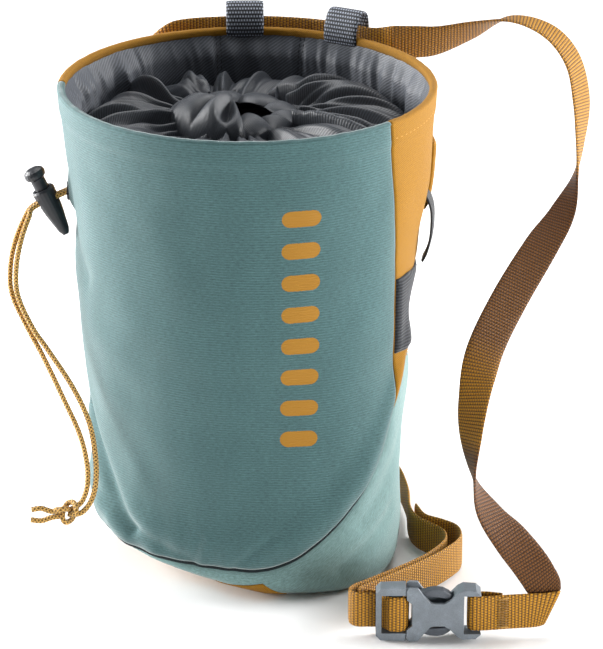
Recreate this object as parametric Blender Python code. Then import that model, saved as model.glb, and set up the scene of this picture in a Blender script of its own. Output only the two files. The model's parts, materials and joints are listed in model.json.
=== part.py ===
"""Climbing chalk bag with waist belt, side-release buckle, drawcord and cord lock.

Metres, +Z up. The origin is the middle of the base, the bag stands upright and its front faces -Y.
The belt and the drawcord lie loose, so their routes are given in a lay frame turned round the bag.
"""

import math

import bmesh
import bpy
from mathutils import Matrix, Vector

MM = 0.001

# Bag
HEIGHT = 0.200
TOP_RADIUS = 0.0772
BASE_RADIUS = 0.0625
BASE_CORNER_REACH = 0.012
BASE_CORNER_ANGLE = 333.0
BASE_CORNER_SPREAD = 27.0
CORNER_ROUND = 0.009
CORNER_STEPS = 3
GAP = 0.0003
WRAP_GAP = 0.0008

# Wall layers, from the outside in
SHELL_THICKNESS = 0.0014
FOAM_THICKNESS = 0.0018
LINING_THICKNESS = 0.0008
LAYER_GAP = 0.0007
FOAM_INSET = SHELL_THICKNESS + LAYER_GAP
LINING_INSET = FOAM_INSET + FOAM_THICKNESS + LAYER_GAP
LINING_BACK = LINING_INSET + LINING_THICKNESS
WALL_TOP = 0.1900

# Seams: angles round the bag in degrees, heights in metres
FRONT_START = 200.0
FRONT_END_TOP = 339.0
FRONT_END_LEAN = 77.0
FRONT_END_LEVEL = 0.135
WRAP_LOWEST = 291.0
WRAP_HIGHEST = 352.0
WRAP_LOW = 0.0130
WRAP_HIGH = 0.0925
WRAP_LEFT = 0.0220

# Patch across the back, and elastic band on the right
PATCH_START = 16.0
BAND_START = 352.0
BAND_END = 425.0
BAND_HALF = 0.0162
BAND_LEVEL_FRONT = 0.1163
BAND_LEVEL_BACK = 0.1092

# Rim
HOOP_RADIUS = 0.0011
HOOP_HEIGHT = 0.1965

# Closure and pouch
COLLAR_SEAM = 0.1680
THROAT_RADIUS = 0.0200
COLLAR_THICKNESS = 0.0012
CASING_RING_RADIUS = 0.0262
CASING_TUBE = 0.0034
CASING_WALL = 0.0009
POUCH_FLOOR = 0.0052
POUCH_SEAM = 0.2

# Webbing and cord
BELT_WIDTH = 0.0150
BELT_THICKNESS = 0.0014
BELT_STANDOFF = 0.0036
LOOP_WIDTH = 0.0160
LOOP_THICKNESS = 0.0013
LOOP_ANGLES = (79.6, 112.6)
CORD_RADIUS = 0.0010
CORD_SPREAD = 0.0014

# The lay of the belt and the drawcord
LAY_TURN = math.radians(21.0)
LAY = Matrix.Rotation(LAY_TURN, 4, "Z")

# Buckle
BUCKLE_AT = Vector((0.0728, -0.0996, 0.0116))
PLATE_THICKNESS = 0.0017
PLATE_GAP = 0.0026
ARM_PIVOT = Vector((-0.0029, 0.0, 0.0080))
ARM_THICKNESS = 0.0042

# Drawcord exit: where it leaves the wall and which way it runs
EXIT_AT = Vector((-0.0740, -0.0040, 0.1564))
EXIT_DIRECTION = Vector((-0.9, -0.02, -0.43)).normalized()
LOCK_HOLE_DISTANCE = 0.0088

TEAL = (0.16, 0.28, 0.27, 1.0)
OCHRE = (0.78, 0.40, 0.05, 1.0)
WEBBING = (0.58, 0.26, 0.02, 1.0)
GRAPHITE = (0.045, 0.05, 0.065, 1.0)
CORD_TAN = (0.60, 0.35, 0.08, 1.0)
BUCKLE_GREY = (0.19, 0.21, 0.23, 1.0)
LOCK_BLACK = (0.02, 0.022, 0.028, 1.0)
FLEECE = (0.55, 0.55, 0.56, 1.0)
FOAM_GREY = (0.35, 0.35, 0.36, 1.0)
STEEL = (0.6, 0.6, 0.62, 1.0)


def clear_scene():
    for obj in list(bpy.data.objects):
        bpy.data.objects.remove(obj, do_unlink=True)


def material(name, colour, roughness=0.85, metallic=0.0):
    found = bpy.data.materials.get(name)
    if found:
        return found
    made = bpy.data.materials.new(name)
    made.use_nodes = True
    shader = made.node_tree.nodes["Principled BSDF"]
    shader.inputs["Base Color"].default_value = colour
    shader.inputs["Roughness"].default_value = roughness
    shader.inputs["Metallic"].default_value = metallic
    return made


def add_mesh(name, verts, faces, mat, smooth=True):
    mesh = bpy.data.meshes.new(name)
    mesh.from_pydata([tuple(v) for v in verts], [], faces)
    bm = bmesh.new()
    bm.from_mesh(mesh)
    bmesh.ops.remove_doubles(bm, verts=bm.verts, dist=1e-7)
    bmesh.ops.recalc_face_normals(bm, faces=bm.faces)
    bm.to_mesh(mesh)
    bm.free()
    for polygon in mesh.polygons:
        polygon.use_smooth = smooth
    obj = bpy.data.objects.new(name, mesh)
    bpy.context.collection.objects.link(obj)
    obj.data.materials.append(mat)
    return obj


def bevel(obj, width, segments=2, angle=40.0):
    modifier = obj.modifiers.new("Bevel", "BEVEL")
    modifier.width = width
    modifier.segments = segments
    modifier.limit_method = "ANGLE"
    modifier.angle_limit = math.radians(angle)
    return obj


def cut(obj, cutter):
    modifier = obj.modifiers.new("Cut", "BOOLEAN")
    modifier.operation = "DIFFERENCE"
    modifier.solver = "EXACT"
    modifier.object = cutter
    cutter.hide_render = True
    cutter.display_type = "WIRE"
    return obj


def lay_point(point):
    return LAY @ Vector(point)


def lay_direction(direction):
    return LAY.to_3x3() @ Vector(direction)


# ---------------------------------------------------------------- bag shape

def corner_bump(angle):
    """How far the base reaches out at this angle, where the wrap panel meets the back panel."""
    offset = (angle - BASE_CORNER_ANGLE + 180.0) % 360.0 - 180.0
    return BASE_CORNER_REACH * math.exp(-((offset / BASE_CORNER_SPREAD) ** 2))


def wall_radius(angle, height):
    base = BASE_RADIUS + corner_bump(angle)
    return base + (TOP_RADIUS - base) * height / HEIGHT


def wall_point(angle, height, inset):
    """A point on a wall layer. Below CORNER_ROUND the wall curls in to the base."""
    turn = math.radians(angle)
    if height >= CORNER_ROUND:
        radius = wall_radius(angle, height) - inset
        level = height
    else:
        curl = (CORNER_ROUND - height) / CORNER_ROUND * math.pi / 2
        radius = wall_radius(angle, CORNER_ROUND) - CORNER_ROUND
        radius += (CORNER_ROUND - inset) * math.cos(curl)
        level = CORNER_ROUND - (CORNER_ROUND - inset) * math.sin(curl)
    return Vector((radius * math.cos(turn), radius * math.sin(turn), level))


def levels_between(low, high, rows):
    """Heights up a wall, with closer rows where it curls in at the base."""
    if low >= CORNER_ROUND:
        return [low + (high - low) * i / rows for i in range(rows + 1)]
    curl = [CORNER_ROUND * i / CORNER_STEPS for i in range(CORNER_STEPS)]
    upper = [CORNER_ROUND + (high - CORNER_ROUND) * i / rows for i in range(rows + 1)]
    return [level for level in curl if level >= low] + upper


def wall_piece(name, start, end, low, high, inset, thickness, mat, columns, rows):
    """A curved slab of the wall. Its side edges and its low and high edges are functions."""
    closed = start(0.0) + 360.0 <= end(0.0)
    outer = []
    inner = []
    for i in range(columns if closed else columns + 1):
        share = i / columns
        bottom, top = (edge_level(start, end, share, edge) for edge in (low, high))
        levels = levels_between(bottom, top, rows)
        angles = [start(level) + (end(level) - start(level)) * share for level in levels]
        outer.append([wall_point(angle, level, inset) for angle, level in zip(angles, levels)])
        inner.append([wall_point(angle, level, inset + thickness) for angle, level in zip(angles, levels)])
    return slab(name, outer, inner, closed, mat)


def edge_level(start, end, share, edge):
    """The height where a leaning column meets an edge that is given by angle."""
    level = 0.1
    for _ in range(6):
        level = edge(start(level) + (end(level) - start(level)) * share)
    return level


def slab(name, outer, inner, closed, mat, smooth=True):
    """Joins two equal grids of points, outside and inside, into one closed solid."""
    columns = len(outer)
    rows = len(outer[0])
    verts = [p for column in outer for p in column] + [p for column in inner for p in column]
    shift = columns * rows
    faces = []
    spans = columns if closed else columns - 1
    for i in range(spans):
        j = (i + 1) % columns
        for k in range(rows - 1):
            a, b = i * rows + k, j * rows + k
            faces.append((a, b, b + 1, a + 1))
            faces.append((a + shift, a + 1 + shift, b + 1 + shift, b + shift))
        low_a, low_b = i * rows, j * rows
        top_a, top_b = low_a + rows - 1, low_b + rows - 1
        faces.append((low_a, low_a + shift, low_b + shift, low_b))
        faces.append((top_a, top_b, top_b + shift, top_a + shift))
    if not closed:
        for i, flip in ((0, False), (columns - 1, True)):
            for k in range(rows - 1):
                a = i * rows + k
                face = (a, a + 1, a + 1 + shift, a + shift)
                faces.append(face[::-1] if flip else face)
    return add_mesh(name, verts, faces, mat, smooth)


def ring(name, profile, mat, segments=64, start=0.0, end=360.0, smooth=True):
    """Turns a closed (radius, height) profile about the bag's axis."""
    closed = abs(end - start) >= 360.0
    count = segments if closed else segments + 1
    size = len(profile)
    verts = []
    for i in range(count):
        turn = math.radians(start + (end - start) * i / segments)
        for radius, height in profile:
            verts.append((radius * math.cos(turn), radius * math.sin(turn), height))
    faces = []
    for i in range(segments):
        j = (i + 1) % count
        for k in range(size):
            n = (k + 1) % size
            faces.append((i * size + k, j * size + k, j * size + n, i * size + n))
    if not closed:
        faces.append(tuple(range(size)))
        faces.append(tuple((count - 1) * size + k for k in reversed(range(size))))
    return add_mesh(name, verts, faces, mat, smooth)


def disc(name, radius_at, low, high, mat, columns=48):
    """A flat plate whose edge follows a radius given for each angle."""
    verts = []
    for level in (low, high):
        for i in range(columns):
            angle = 360.0 * i / columns
            turn = math.radians(angle)
            radius = radius_at(angle)
            verts.append((radius * math.cos(turn), radius * math.sin(turn), level))
    faces = [tuple(reversed(range(columns))), tuple(range(columns, 2 * columns))]
    for i in range(columns):
        j = (i + 1) % columns
        faces.append((i, j, j + columns, i + columns))
    return add_mesh(name, verts, faces, mat, smooth=False)


def wrap_seam(angle):
    """Height of the seam over the lower wrap panel: low in front, sweeping up to the right."""
    angle = angle % 360.0
    if angle < FRONT_START - 140.0:
        return WRAP_HIGH
    if angle < FRONT_START:
        share = (angle - FRONT_START + 140.0) / 140.0
        return WRAP_HIGH - (WRAP_HIGH - WRAP_LEFT) * share * share * (3.0 - 2.0 * share)
    if angle < WRAP_LOWEST:
        share = (WRAP_LOWEST - angle) / (WRAP_LOWEST - FRONT_START)
        return WRAP_LOW + (WRAP_LEFT - WRAP_LOW) * share ** 2
    share = min(1.0, (angle - WRAP_LOWEST) / (WRAP_HIGHEST - WRAP_LOWEST))
    return WRAP_LOW + (WRAP_HIGH - WRAP_LOW) * share ** 2


def front_end(level):
    """The front panel's right seam leans round the bag at first, and then runs straight down."""
    return FRONT_END_TOP + FRONT_END_LEAN * (HEIGHT - max(level, FRONT_END_LEVEL))


def constant(value):
    return lambda _: value


# ---------------------------------------------------------------- straps and cords

def spline(values, samples):
    """A Catmull-Rom curve through the values, which are vectors."""
    ends = [2 * values[0] - values[1]] + list(values) + [2 * values[-1] - values[-2]]
    curve = []
    for i in range(1, len(ends) - 2):
        a, b, c, d = ends[i - 1:i + 3]
        for step in range(samples):
            t = step / samples
            curve.append(0.5 * (2 * b + (c - a) * t + (2 * a - 5 * b + 4 * c - d) * t * t
                                + (3 * b - a - 3 * c + d) * t ** 3))
    curve.append(Vector(values[-1]))
    return curve


def strap(name, route, mat, samples=4, width=BELT_WIDTH, thickness=BELT_THICKNESS):
    """Flat webbing. Each route entry is a centre in mm and the way its width points, in the lay frame."""
    centres = spline([Vector(centre) * MM for centre, _ in route], samples)
    widths = spline([Vector(across) for _, across in route], samples)
    front = []
    back = []
    for i, centre in enumerate(centres):
        ahead = centres[min(i + 1, len(centres) - 1)] - centres[max(i - 1, 0)]
        across = widths[i] * (width / 2)
        if widths[i].length < 1.02:
            across = widths[i].normalized() * (width / 2)
        face = ahead.cross(across).normalized() * (thickness / 2)
        rows = [across * share for share in (-1.0, 0.0, 1.0)]
        front.append([LAY @ (centre + row + face) for row in rows])
        back.append([LAY @ (centre + row - face) for row in rows])
    return slab(name, front, back, False, mat)


def tube(name, points, radius, mat, resolution=2, closed=False):
    """A cord as a curve object with filled ends."""
    data = bpy.data.curves.new(name, "CURVE")
    data.dimensions = "3D"
    data.bevel_depth = radius
    data.bevel_resolution = resolution
    data.use_fill_caps = not closed
    line = data.splines.new("POLY")
    line.points.add(len(points) - 1)
    for point, place in zip(line.points, points):
        point.co = (*place, 1.0)
    line.use_cyclic_u = closed
    obj = bpy.data.objects.new(name, data)
    bpy.context.collection.objects.link(obj)
    data.materials.append(mat)
    return obj


# ---------------------------------------------------------------- bag, outside

def build_panels():
    teal = material("teal_fabric", TEAL, 0.9)
    ochre = material("ochre_fabric", OCHRE, 0.88)
    base = material("base_fabric", TEAL, 0.92)
    lower = material("teal_wrap_fabric", TEAL, 0.9)
    stiff = material("stiffener", FOAM_GREY, 0.6)
    half = 0.18
    top = constant(WALL_TOP)
    wall_piece("front_panel", constant(FRONT_START + half), lambda z: front_end(z) - half,
               lambda a: wrap_seam(a) + WRAP_GAP, top, 0.0, SHELL_THICKNESS, teal, 48, 3)
    wall_piece("back_panel", lambda z: front_end(z) + half - 360.0, constant(FRONT_START - half),
               lambda a: wrap_seam(a) + WRAP_GAP, top, 0.0, SHELL_THICKNESS, ochre, 54, 2)
    wall_piece("lower_panel", constant(FRONT_START + half), constant(BAND_END - half), constant(0.0),
               wrap_seam, 0.0, SHELL_THICKNESS, lower, 60, 3)
    wall_piece("lower_back_panel", constant(BAND_END - 360.0 + half), constant(FRONT_START - half),
               constant(0.0), wrap_seam, 0.0, SHELL_THICKNESS, material("teal_back_fabric", TEAL, 0.9),
               28, 3)
    disc("base_panel", lambda a: wall_radius(a, CORNER_ROUND) - CORNER_ROUND - GAP, 0.0,
         SHELL_THICKNESS, base)
    disc("base_stiffener", lambda a: wall_radius(a, CORNER_ROUND) - CORNER_ROUND - 0.0010,
         SHELL_THICKNESS + GAP, SHELL_THICKNESS + GAP + 0.0014, stiff)


def build_rim():
    hem_front = material("teal_binding", TEAL, 0.9)
    hem_back = material("ochre_binding", OCHRE, 0.88)
    outer = TOP_RADIUS + 0.0004
    wall = 0.0011
    inner = TOP_RADIUS - LINING_BACK - 0.0006
    crown = HEIGHT
    low = WALL_TOP + GAP
    profile = [
        (outer - 0.0006, low), (outer, low + 0.0060), (outer - 0.0006, crown - 0.0012),
        (outer - 0.0018, crown), (inner + 0.0018, crown), (inner + 0.0006, crown - 0.0012),
        (inner, low + 0.0060), (inner, low + 0.0008), (inner + wall, low + 0.0008),
        (inner + wall, crown - 0.0022), (inner + wall + 0.0006, crown - 0.0014),
        (outer - wall - 0.0008, crown - 0.0014), (outer - wall - 0.0004, crown - 0.0022),
        (outer - wall - 0.0006, low),
    ]
    half = 0.2
    ring("rim_hem_front", profile, hem_front, 26, FRONT_START + half, FRONT_END_TOP - half)
    ring("rim_hem_back", profile, hem_back, 40, FRONT_END_TOP + half - 360.0, FRONT_START - half)
    middle = (outer + inner) / 2
    turns = [math.tau * i / 48 for i in range(48)]
    hoop = [(middle * math.cos(t), middle * math.sin(t), HOOP_HEIGHT) for t in turns]
    tube("rim_hoop", hoop, HOOP_RADIUS, material("hoop_plastic", LOCK_BLACK, 0.5), closed=True)


def build_back_details():
    ochre = material("ochre_patch_fabric", OCHRE, 0.88)
    elastic = material("graphite_elastic", GRAPHITE, 0.8)
    brush = material("brush_loop_elastic", LOCK_BLACK, 0.8)
    wall_piece("back_patch", constant(PATCH_START), constant(187.0), constant(0.1490),
               constant(0.1770), -0.0018, 0.0015, ochre, 34, 1)
    wall_piece("side_band", lambda z: front_end(z) + 0.5, constant(BAND_END),
               lambda a: band_level(a) - BAND_HALF, lambda a: band_level(a) + BAND_HALF, -0.0015, 0.0012,
               elastic, 22, 1)
    brush_loop(brush)


def band_level(angle):
    """Middle of the elastic band, a little higher at its front end."""
    share = min(1.0, max(0.0, angle - BAND_START) / 30.0)
    return BAND_LEVEL_FRONT + (BAND_LEVEL_BACK - BAND_LEVEL_FRONT) * share


def brush_loop(mat):
    """A flat elastic loop that stands off the wall, between the patch and the band."""
    angle = math.radians(21.0)
    side = Vector((-math.sin(angle), math.cos(angle), 0.0))
    outward = Vector((math.cos(angle), math.sin(angle), 0.0))
    wall = wall_radius(21.0, 0.1360)
    route = ((0.0003, 0.1475), (0.0016, 0.1452), (0.0025, 0.1400), (0.0027, 0.1350), (0.0025, 0.1295),
             (0.0017, 0.1258), (0.0006, 0.1244))
    outer = []
    inner = []
    for i, (reach, level) in enumerate(route):
        before = Vector(route[max(i - 1, 0)])
        after = Vector(route[min(i + 1, len(route) - 1)])
        along = (after - before).normalized()
        face = Vector((-along.y, along.x)) * 0.0006
        rows_out = []
        rows_in = []
        for share in (-1.0, 1.0):
            foot = side * share * 0.0055 + outward * (wall + 0.0012)
            rows_out.append(foot + outward * (reach + face.x) + Vector((0, 0, level + face.y)))
            rows_in.append(foot + outward * (reach - face.x) + Vector((0, 0, level - face.y)))
        outer.append(rows_out)
        inner.append(rows_in)
    slab("brush_loop", outer, inner, False, mat)


def build_belt_loops():
    webbing = material("graphite_webbing", GRAPHITE, 0.8)
    for name, angle in zip(("belt_loop_right", "belt_loop_left"), LOOP_ANGLES):
        belt_loop(name, angle, webbing)


def belt_loop(name, angle, mat):
    """A webbing loop from inside the rim, over it and round the belt, down to the back patch."""
    wall = TOP_RADIUS
    inside = wall - LINING_BACK - 0.0020
    route = [
        (inside - 0.0008, 0.1830), (inside - 0.0002, 0.1960), (inside + 0.0006, 0.2030),
        (inside + 0.0030, 0.2072), (wall + 0.0010, 0.2096), (wall + 0.0044, 0.2092),
        (wall + 0.0064, 0.2062), (wall + 0.0068, 0.1980), (wall + 0.0062, 0.1900),
        (wall + 0.0040, 0.1840), (wall + 0.0020, 0.1780), (wall + 0.0014, 0.1660),
    ]
    turn = math.radians(angle)
    outward = Vector((math.cos(turn), math.sin(turn), 0.0))
    side = Vector((-math.sin(turn), math.cos(turn), 0.0))
    points = spline([Vector((radius, level, 0.0)) for radius, level in route], 2)
    outer = []
    inner = []
    for i, point in enumerate(points):
        along = (points[min(i + 1, len(points) - 1)] - points[max(i - 1, 0)]).normalized()
        face = Vector((along.y, -along.x)) * (LOOP_THICKNESS / 2)
        rows_out = []
        rows_in = []
        for share in (-1.0, -0.33, 0.33, 1.0):
            offset = share * LOOP_WIDTH / 2
            sag = (wall - math.sqrt(wall ** 2 - offset ** 2))
            level = Vector((0.0, 0.0, point.y))
            rows_out.append(outward * (point.x - sag - face.x) + side * offset + level
                            - Vector((0, 0, face.y)))
            rows_in.append(outward * (point.x - sag + face.x) + side * offset + level
                           + Vector((0, 0, face.y)))
        outer.append(rows_out)
        inner.append(rows_in)
    slab(name, outer, inner, False, mat)


# ---------------------------------------------------------------- bag, inside

def build_inside():
    foam = material("wall_foam", FOAM_GREY, 0.95)
    lining = material("lining_twill", GRAPHITE, 0.55)
    collar = material("collar_fabric", GRAPHITE, 0.5)
    fleece = material("pouch_fleece", FLEECE, 1.0)
    whole = (constant(0.0), constant(360.0))
    wall_piece("wall_foam", *whole, constant(CORNER_ROUND + 0.0005), constant(WALL_TOP), FOAM_INSET,
               FOAM_THICKNESS, foam, 72, 1)
    wall_piece("lining_facing", *whole, constant(COLLAR_SEAM + 0.0022), constant(WALL_TOP),
               LINING_INSET, LINING_THICKNESS, lining, 48, 1)
    build_pouch(fleece)
    build_collar(collar)


def pouch_heel(angle):
    """How far the pouch's floor reaches at this angle, inside the foot of its wall."""
    return wall_radius(angle, CORNER_ROUND) - LINING_INSET - 0.0075


def build_pouch(mat):
    """The fleece cup that holds the chalk: two halves of wall, and a floor sewn into their foot."""
    for name, start in (("chalk_pouch_back", 0.0), ("chalk_pouch_front", 180.0)):
        pouch_half(name, start + POUCH_SEAM, start + 180.0 - POUCH_SEAM, mat)
    disc("pouch_floor", lambda a: pouch_heel(a) - 0.0010, POUCH_FLOOR, POUCH_FLOOR + 0.0012,
         material("pouch_floor_fleece", FLEECE, 1.0))


def pouch_half(name, start, end, mat):
    columns = 36
    outer = []
    inner = []
    for i in range(columns + 1):
        angle = start + (end - start) * i / columns
        turn = math.radians(angle)
        across = Vector((math.cos(turn), math.sin(turn), 0.0))
        up = Vector((0.0, 0.0, 1.0))
        heel = pouch_heel(angle)
        out = [across * heel + up * POUCH_FLOOR]
        out += [wall_point(angle, z, LINING_INSET) for z in (0.0128, COLLAR_SEAM)]
        ins = [across * (heel - 0.0006) + up * (POUCH_FLOOR + 0.0012)]
        ins += [wall_point(angle, z, LINING_INSET + 0.0012) for z in (0.0132, COLLAR_SEAM)]
        outer.append(out)
        inner.append(ins)
    slab(name, outer, inner, False, mat)


def collar_ring(name, upper, mat):
    """A ring of collar cloth: its upper side is given from the wall inwards."""
    lower = []
    for i, (radius, level) in enumerate(upper):
        before = Vector(upper[max(i - 1, 0)])
        after = Vector(upper[min(i + 1, len(upper) - 1)])
        along = (after - before).normalized()
        lower.append((radius - along.y * COLLAR_THICKNESS, level + along.x * COLLAR_THICKNESS))
    ring(name, upper + lower[::-1], mat, 40)


def build_collar(mat):
    """The gathered closure: a skirt up from its seam, then the collar down to the open throat."""
    seam = TOP_RADIUS - LINING_BACK - 0.0044
    skirt = [(seam, 0.1722), (seam - 0.0010, 0.1800), (0.0640, 0.1880), (0.0600, 0.1894)]
    inner = [(0.0592, 0.1896), (0.0520, 0.1904), (0.0440, 0.1896), (0.0360, 0.1868), (0.0270, 0.1832),
             (THROAT_RADIUS, 0.1818)]
    collar_ring("collar_skirt", skirt, material("collar_skirt_fabric", GRAPHITE, 0.5))
    collar_ring("closure_collar", inner, mat)
    ring("cord_casing", casing_profile(), material("casing_fabric", GRAPHITE, 0.6), 32)
    radius = CASING_RING_RADIUS
    turns = [math.tau * i / 36 for i in range(36)]
    loop = [(radius * math.cos(t), radius * math.sin(t), 0.1768) for t in turns]
    tube("drawcord_ring", loop, CORD_RADIUS, material("drawcord_braid", CORD_TAN, 0.8), closed=True)


def casing_profile():
    """A channel round the throat, open underneath so that the cord in it can be reached."""
    outside = CASING_TUBE / 2
    inside = outside - CASING_WALL / 2
    steps = 6
    start = math.radians(-62.0)
    sweep = math.radians(304.0)
    arc = [start + sweep * i / steps for i in range(steps + 1)]
    centre = Vector((CASING_RING_RADIUS, 0.1768))
    outer = [(centre.x + outside * math.cos(t), centre.y + outside * math.sin(t)) for t in arc]
    inner = [(centre.x + inside * math.cos(t), centre.y + inside * math.sin(t)) for t in reversed(arc)]
    return outer + inner


# ---------------------------------------------------------------- belt

def belt_circle(angle):
    """Middle of the belt where it passes behind the rim, in lay-frame millimetres."""
    radius = (TOP_RADIUS + BELT_STANDOFF) / MM
    turn = math.radians(angle)
    return (radius * math.cos(turn), radius * math.sin(turn), 199.5)


UP = (0.0, 0.0, 1.0)

ARCH_ROUTE = (
    ((60.2, 57.2, 201.8), (0.0, -0.06, 1.0)),
    ((70.0, 56.8, 202.2), (0.0, -0.18, 0.98)),
    ((80.0, 58.0, 202.6), (0.0, -0.36, 0.93)),
    ((95.0, 61.0, 206.4), (-0.06, -0.74, 0.68)),
    ((110.5, 62.0, 210.8), (-0.06, -0.99, 0.12)),
    ((126.0, 58.0, 206.6), (-0.28, -0.96, -0.08)),
    ((135.8, 50.0, 196.5), (-0.42, -0.90, -0.10)),
    ((139.3, 40.0, 181.8), (-0.52, -0.85, 0.10)),
    ((138.4, 28.0, 168.0), (-0.30, -0.92, 0.22)),
    ((136.0, 17.0, 156.6), (0.02, -0.95, 0.30)),
    ((129.8, 4.0, 144.4), (0.62, -0.78, 0.06)),
    ((120.6, -8.5, 134.0), (0.84, -0.50, -0.22)),
    ((106.8, -27.0, 117.4), (0.90, -0.24, -0.36)),
    ((96.4, -44.0, 102.2), (0.92, -0.20, -0.32)),
    ((91.8, -58.0, 88.6), (0.84, -0.48, 0.20)),
    ((89.6, -71.0, 75.6), (0.56, -0.80, 0.18)),
    ((90.6, -83.0, 62.4), (0.0, -0.96, 0.28)),
    ((96.2, -91.0, 51.4), (-0.62, -0.74, 0.06)),
    ((105.0, -95.2, 41.0), (-0.78, -0.48, -0.40)),
    ((113.4, -96.4, 30.0), (-0.83, -0.12, -0.54)),
    ((119.6, -96.8, 19.4), (-0.66, 0.0, -0.80)),
    ((122.2, -97.0, 13.0), (-0.43, 0.0, -1.00)),
)

END_ROUTE = (
    ((102.0, -98.7, 11.6), (0.0, 0.0, -1.0)),
    ((97.0, -97.5, 11.6), (0.0, 0.0, -1.0)),
    ((93.0, -97.2, 11.6), (0.0, 0.0, -1.0)),
    ((90.0, -97.4, 11.6), (0.0, 0.0, -1.0)),
    ((88.6, -99.6, 11.6), (0.0, 0.0, -1.0)),
    ((90.0, -101.8, 11.6), (0.0, 0.0, -1.0)),
    ((93.0, -102.0, 11.6), (0.0, 0.0, -1.0)),
    ((97.0, -101.6, 11.6), (0.0, 0.0, -1.0)),
    ((102.6, -100.6, 11.6), (0.0, 0.0, -1.0)),
    ((110.0, -99.6, 11.6), (0.0, 0.0, -1.0)),
    ((117.0, -99.2, 11.8), (-0.16, 0.0, -1.0)),
    ((122.0, -98.8, 12.6), (-0.42, 0.0, -0.99)),
)

FLOOR_ROUTE = (
    ((-34.5, 74.6, 197.6), (-0.12, 0.03, 0.99)),
    ((-40.2, 75.2, 190.5), (-0.50, 0.15, 0.85)),
    ((-44.0, 77.0, 180.0), (-0.80, 0.30, 0.52)),
    ((-46.4, 80.0, 163.0), (-0.88, 0.46, 0.12)),
    ((-46.4, 84.5, 137.0), (-0.78, 0.62, 0.0)),
    ((-41.0, 90.5, 100.0), (-0.58, 0.81, 0.0)),
    ((-31.0, 96.0, 66.0), (-0.46, 0.86, 0.18)),
    ((-19.0, 99.6, 39.0), (-0.35, 0.62, 0.70)),
    ((-2.0, 100.0, 17.5), (-0.20, 0.20, 0.95)),
    ((22.0, 92.0, 8.2), (0.0, 0.0, 1.0)),
    ((46.0, 74.0, 8.2), (0.0, 0.0, 1.0)),
    ((62.0, 48.0, 8.2), (0.0, 0.0, 1.0)),
    ((67.4, 20.0, 8.2), (0.0, 0.0, 1.0)),
    ((67.9, -2.0, 8.2), (0.0, 0.0, 1.0)),
    ((70.6, -13.6, 8.2), (0.0, 0.0, 1.0)),
    ((75.8, -20.6, 8.2), (0.0, 0.0, 1.0)),
    ((81.2, -28.0, 8.2), (0.0, 0.0, 1.0)),
    ((81.6, -37.4, 8.2), (0.0, 0.0, 1.0)),
    ((76.4, -48.6, 8.4), (0.0, 0.0, 1.0)),
    ((69.8, -58.2, 8.8), (0.0, 0.0, 1.0)),
    ((58.3, -72.0, 9.8), (0.0, 0.0, 1.0)),
    ((47.8, -84.0, 10.8), (0.0, 0.0, 1.0)),
    ((42.6, -90.2, 11.4), (0.0, 0.0, 1.0)),
    ((41.4, -94.8, 11.6), (0.0, 0.0, 1.0)),
    ((43.8, -98.0, 11.6), (0.0, 0.0, 1.0)),
    ((49.0, -98.4, 11.6), (0.0, 0.0, 1.0)),
    ((53.6, -98.8, 11.6), (0.0, 0.0, 1.0)),
    ((55.8, -100.8, 11.6), (0.0, 0.0, 1.0)),
    ((57.2, -102.6, 11.6), (0.0, 0.0, 1.0)),
    ((59.8, -103.2, 11.6), (0.0, 0.0, 1.0)),
    ((62.4, -102.6, 11.6), (0.0, 0.0, 1.0)),
    ((63.9, -100.8, 11.6), (0.0, 0.0, 1.0)),
    ((64.2, -98.4, 11.6), (0.0, 0.0, 1.0)),
)

TAIL_ROUTE = (
    ((62.6, -96.2, 11.6), (0.0, 0.0, 1.0)),
    ((57.0, -95.8, 11.6), (0.0, 0.0, 1.0)),
    ((49.6, -95.8, 11.6), (0.0, 0.0, 1.0)),
    ((45.8, -94.6, 11.6), (0.0, 0.0, 1.0)),
    ((45.6, -91.6, 11.4), (0.0, 0.0, 1.0)),
    ((50.4, -85.8, 10.8), (0.0, 0.0, 1.0)),
    ((60.4, -74.0, 9.8), (0.0, 0.0, 1.0)),
    ((72.4, -59.6, 8.8), (0.0, 0.0, 1.0)),
    ((82.0, -47.0, 8.4), (0.0, 0.0, 1.0)),
    ((88.0, -35.0, 8.2), (0.0, 0.0, 1.0)),
    ((87.2, -24.0, 8.2), (0.0, 0.0, 1.0)),
    ((81.0, -17.4, 8.2), (0.0, 0.0, 1.0)),
    ((74.2, -12.0, 8.2), (0.0, 0.0, 1.0)),
    ((70.6, -1.0, 8.2), (0.0, 0.0, 1.0)),
)


def build_belt():
    webbing = material("belt_webbing", WEBBING, 0.8)
    rim_route = [(belt_circle(angle), UP) for angle in range(50, 111, 10)]
    rim_route.insert(0, ((59.5, 57.5, 201.6), (0.0, -0.05, 1.0)))
    strap("waist_belt", rim_route + list(FLOOR_ROUTE), webbing, 2)
    strap("belt_arch", ARCH_ROUTE, material("belt_arch_webbing", WEBBING, 0.8), 3)
    strap("belt_sewn_end", END_ROUTE, material("belt_end_webbing", WEBBING, 0.8), 3)
    strap("belt_tail", TAIL_ROUTE, material("belt_tail_webbing", WEBBING, 0.8), 3)


# ---------------------------------------------------------------- buckle

def buckle_matrix():
    return LAY @ Matrix.Translation(BUCKLE_AT)


def box(name, low, high, mat, place):
    corners = [Vector((x, y, z)) for x in (low[0], high[0]) for y in (low[1], high[1])
               for z in (low[2], high[2])]
    faces = [(0, 1, 3, 2), (4, 6, 7, 5), (0, 4, 5, 1), (2, 3, 7, 6), (0, 2, 6, 4), (1, 5, 7, 3)]
    return add_mesh(name, [place @ corner for corner in corners], faces, mat, smooth=False)


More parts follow.
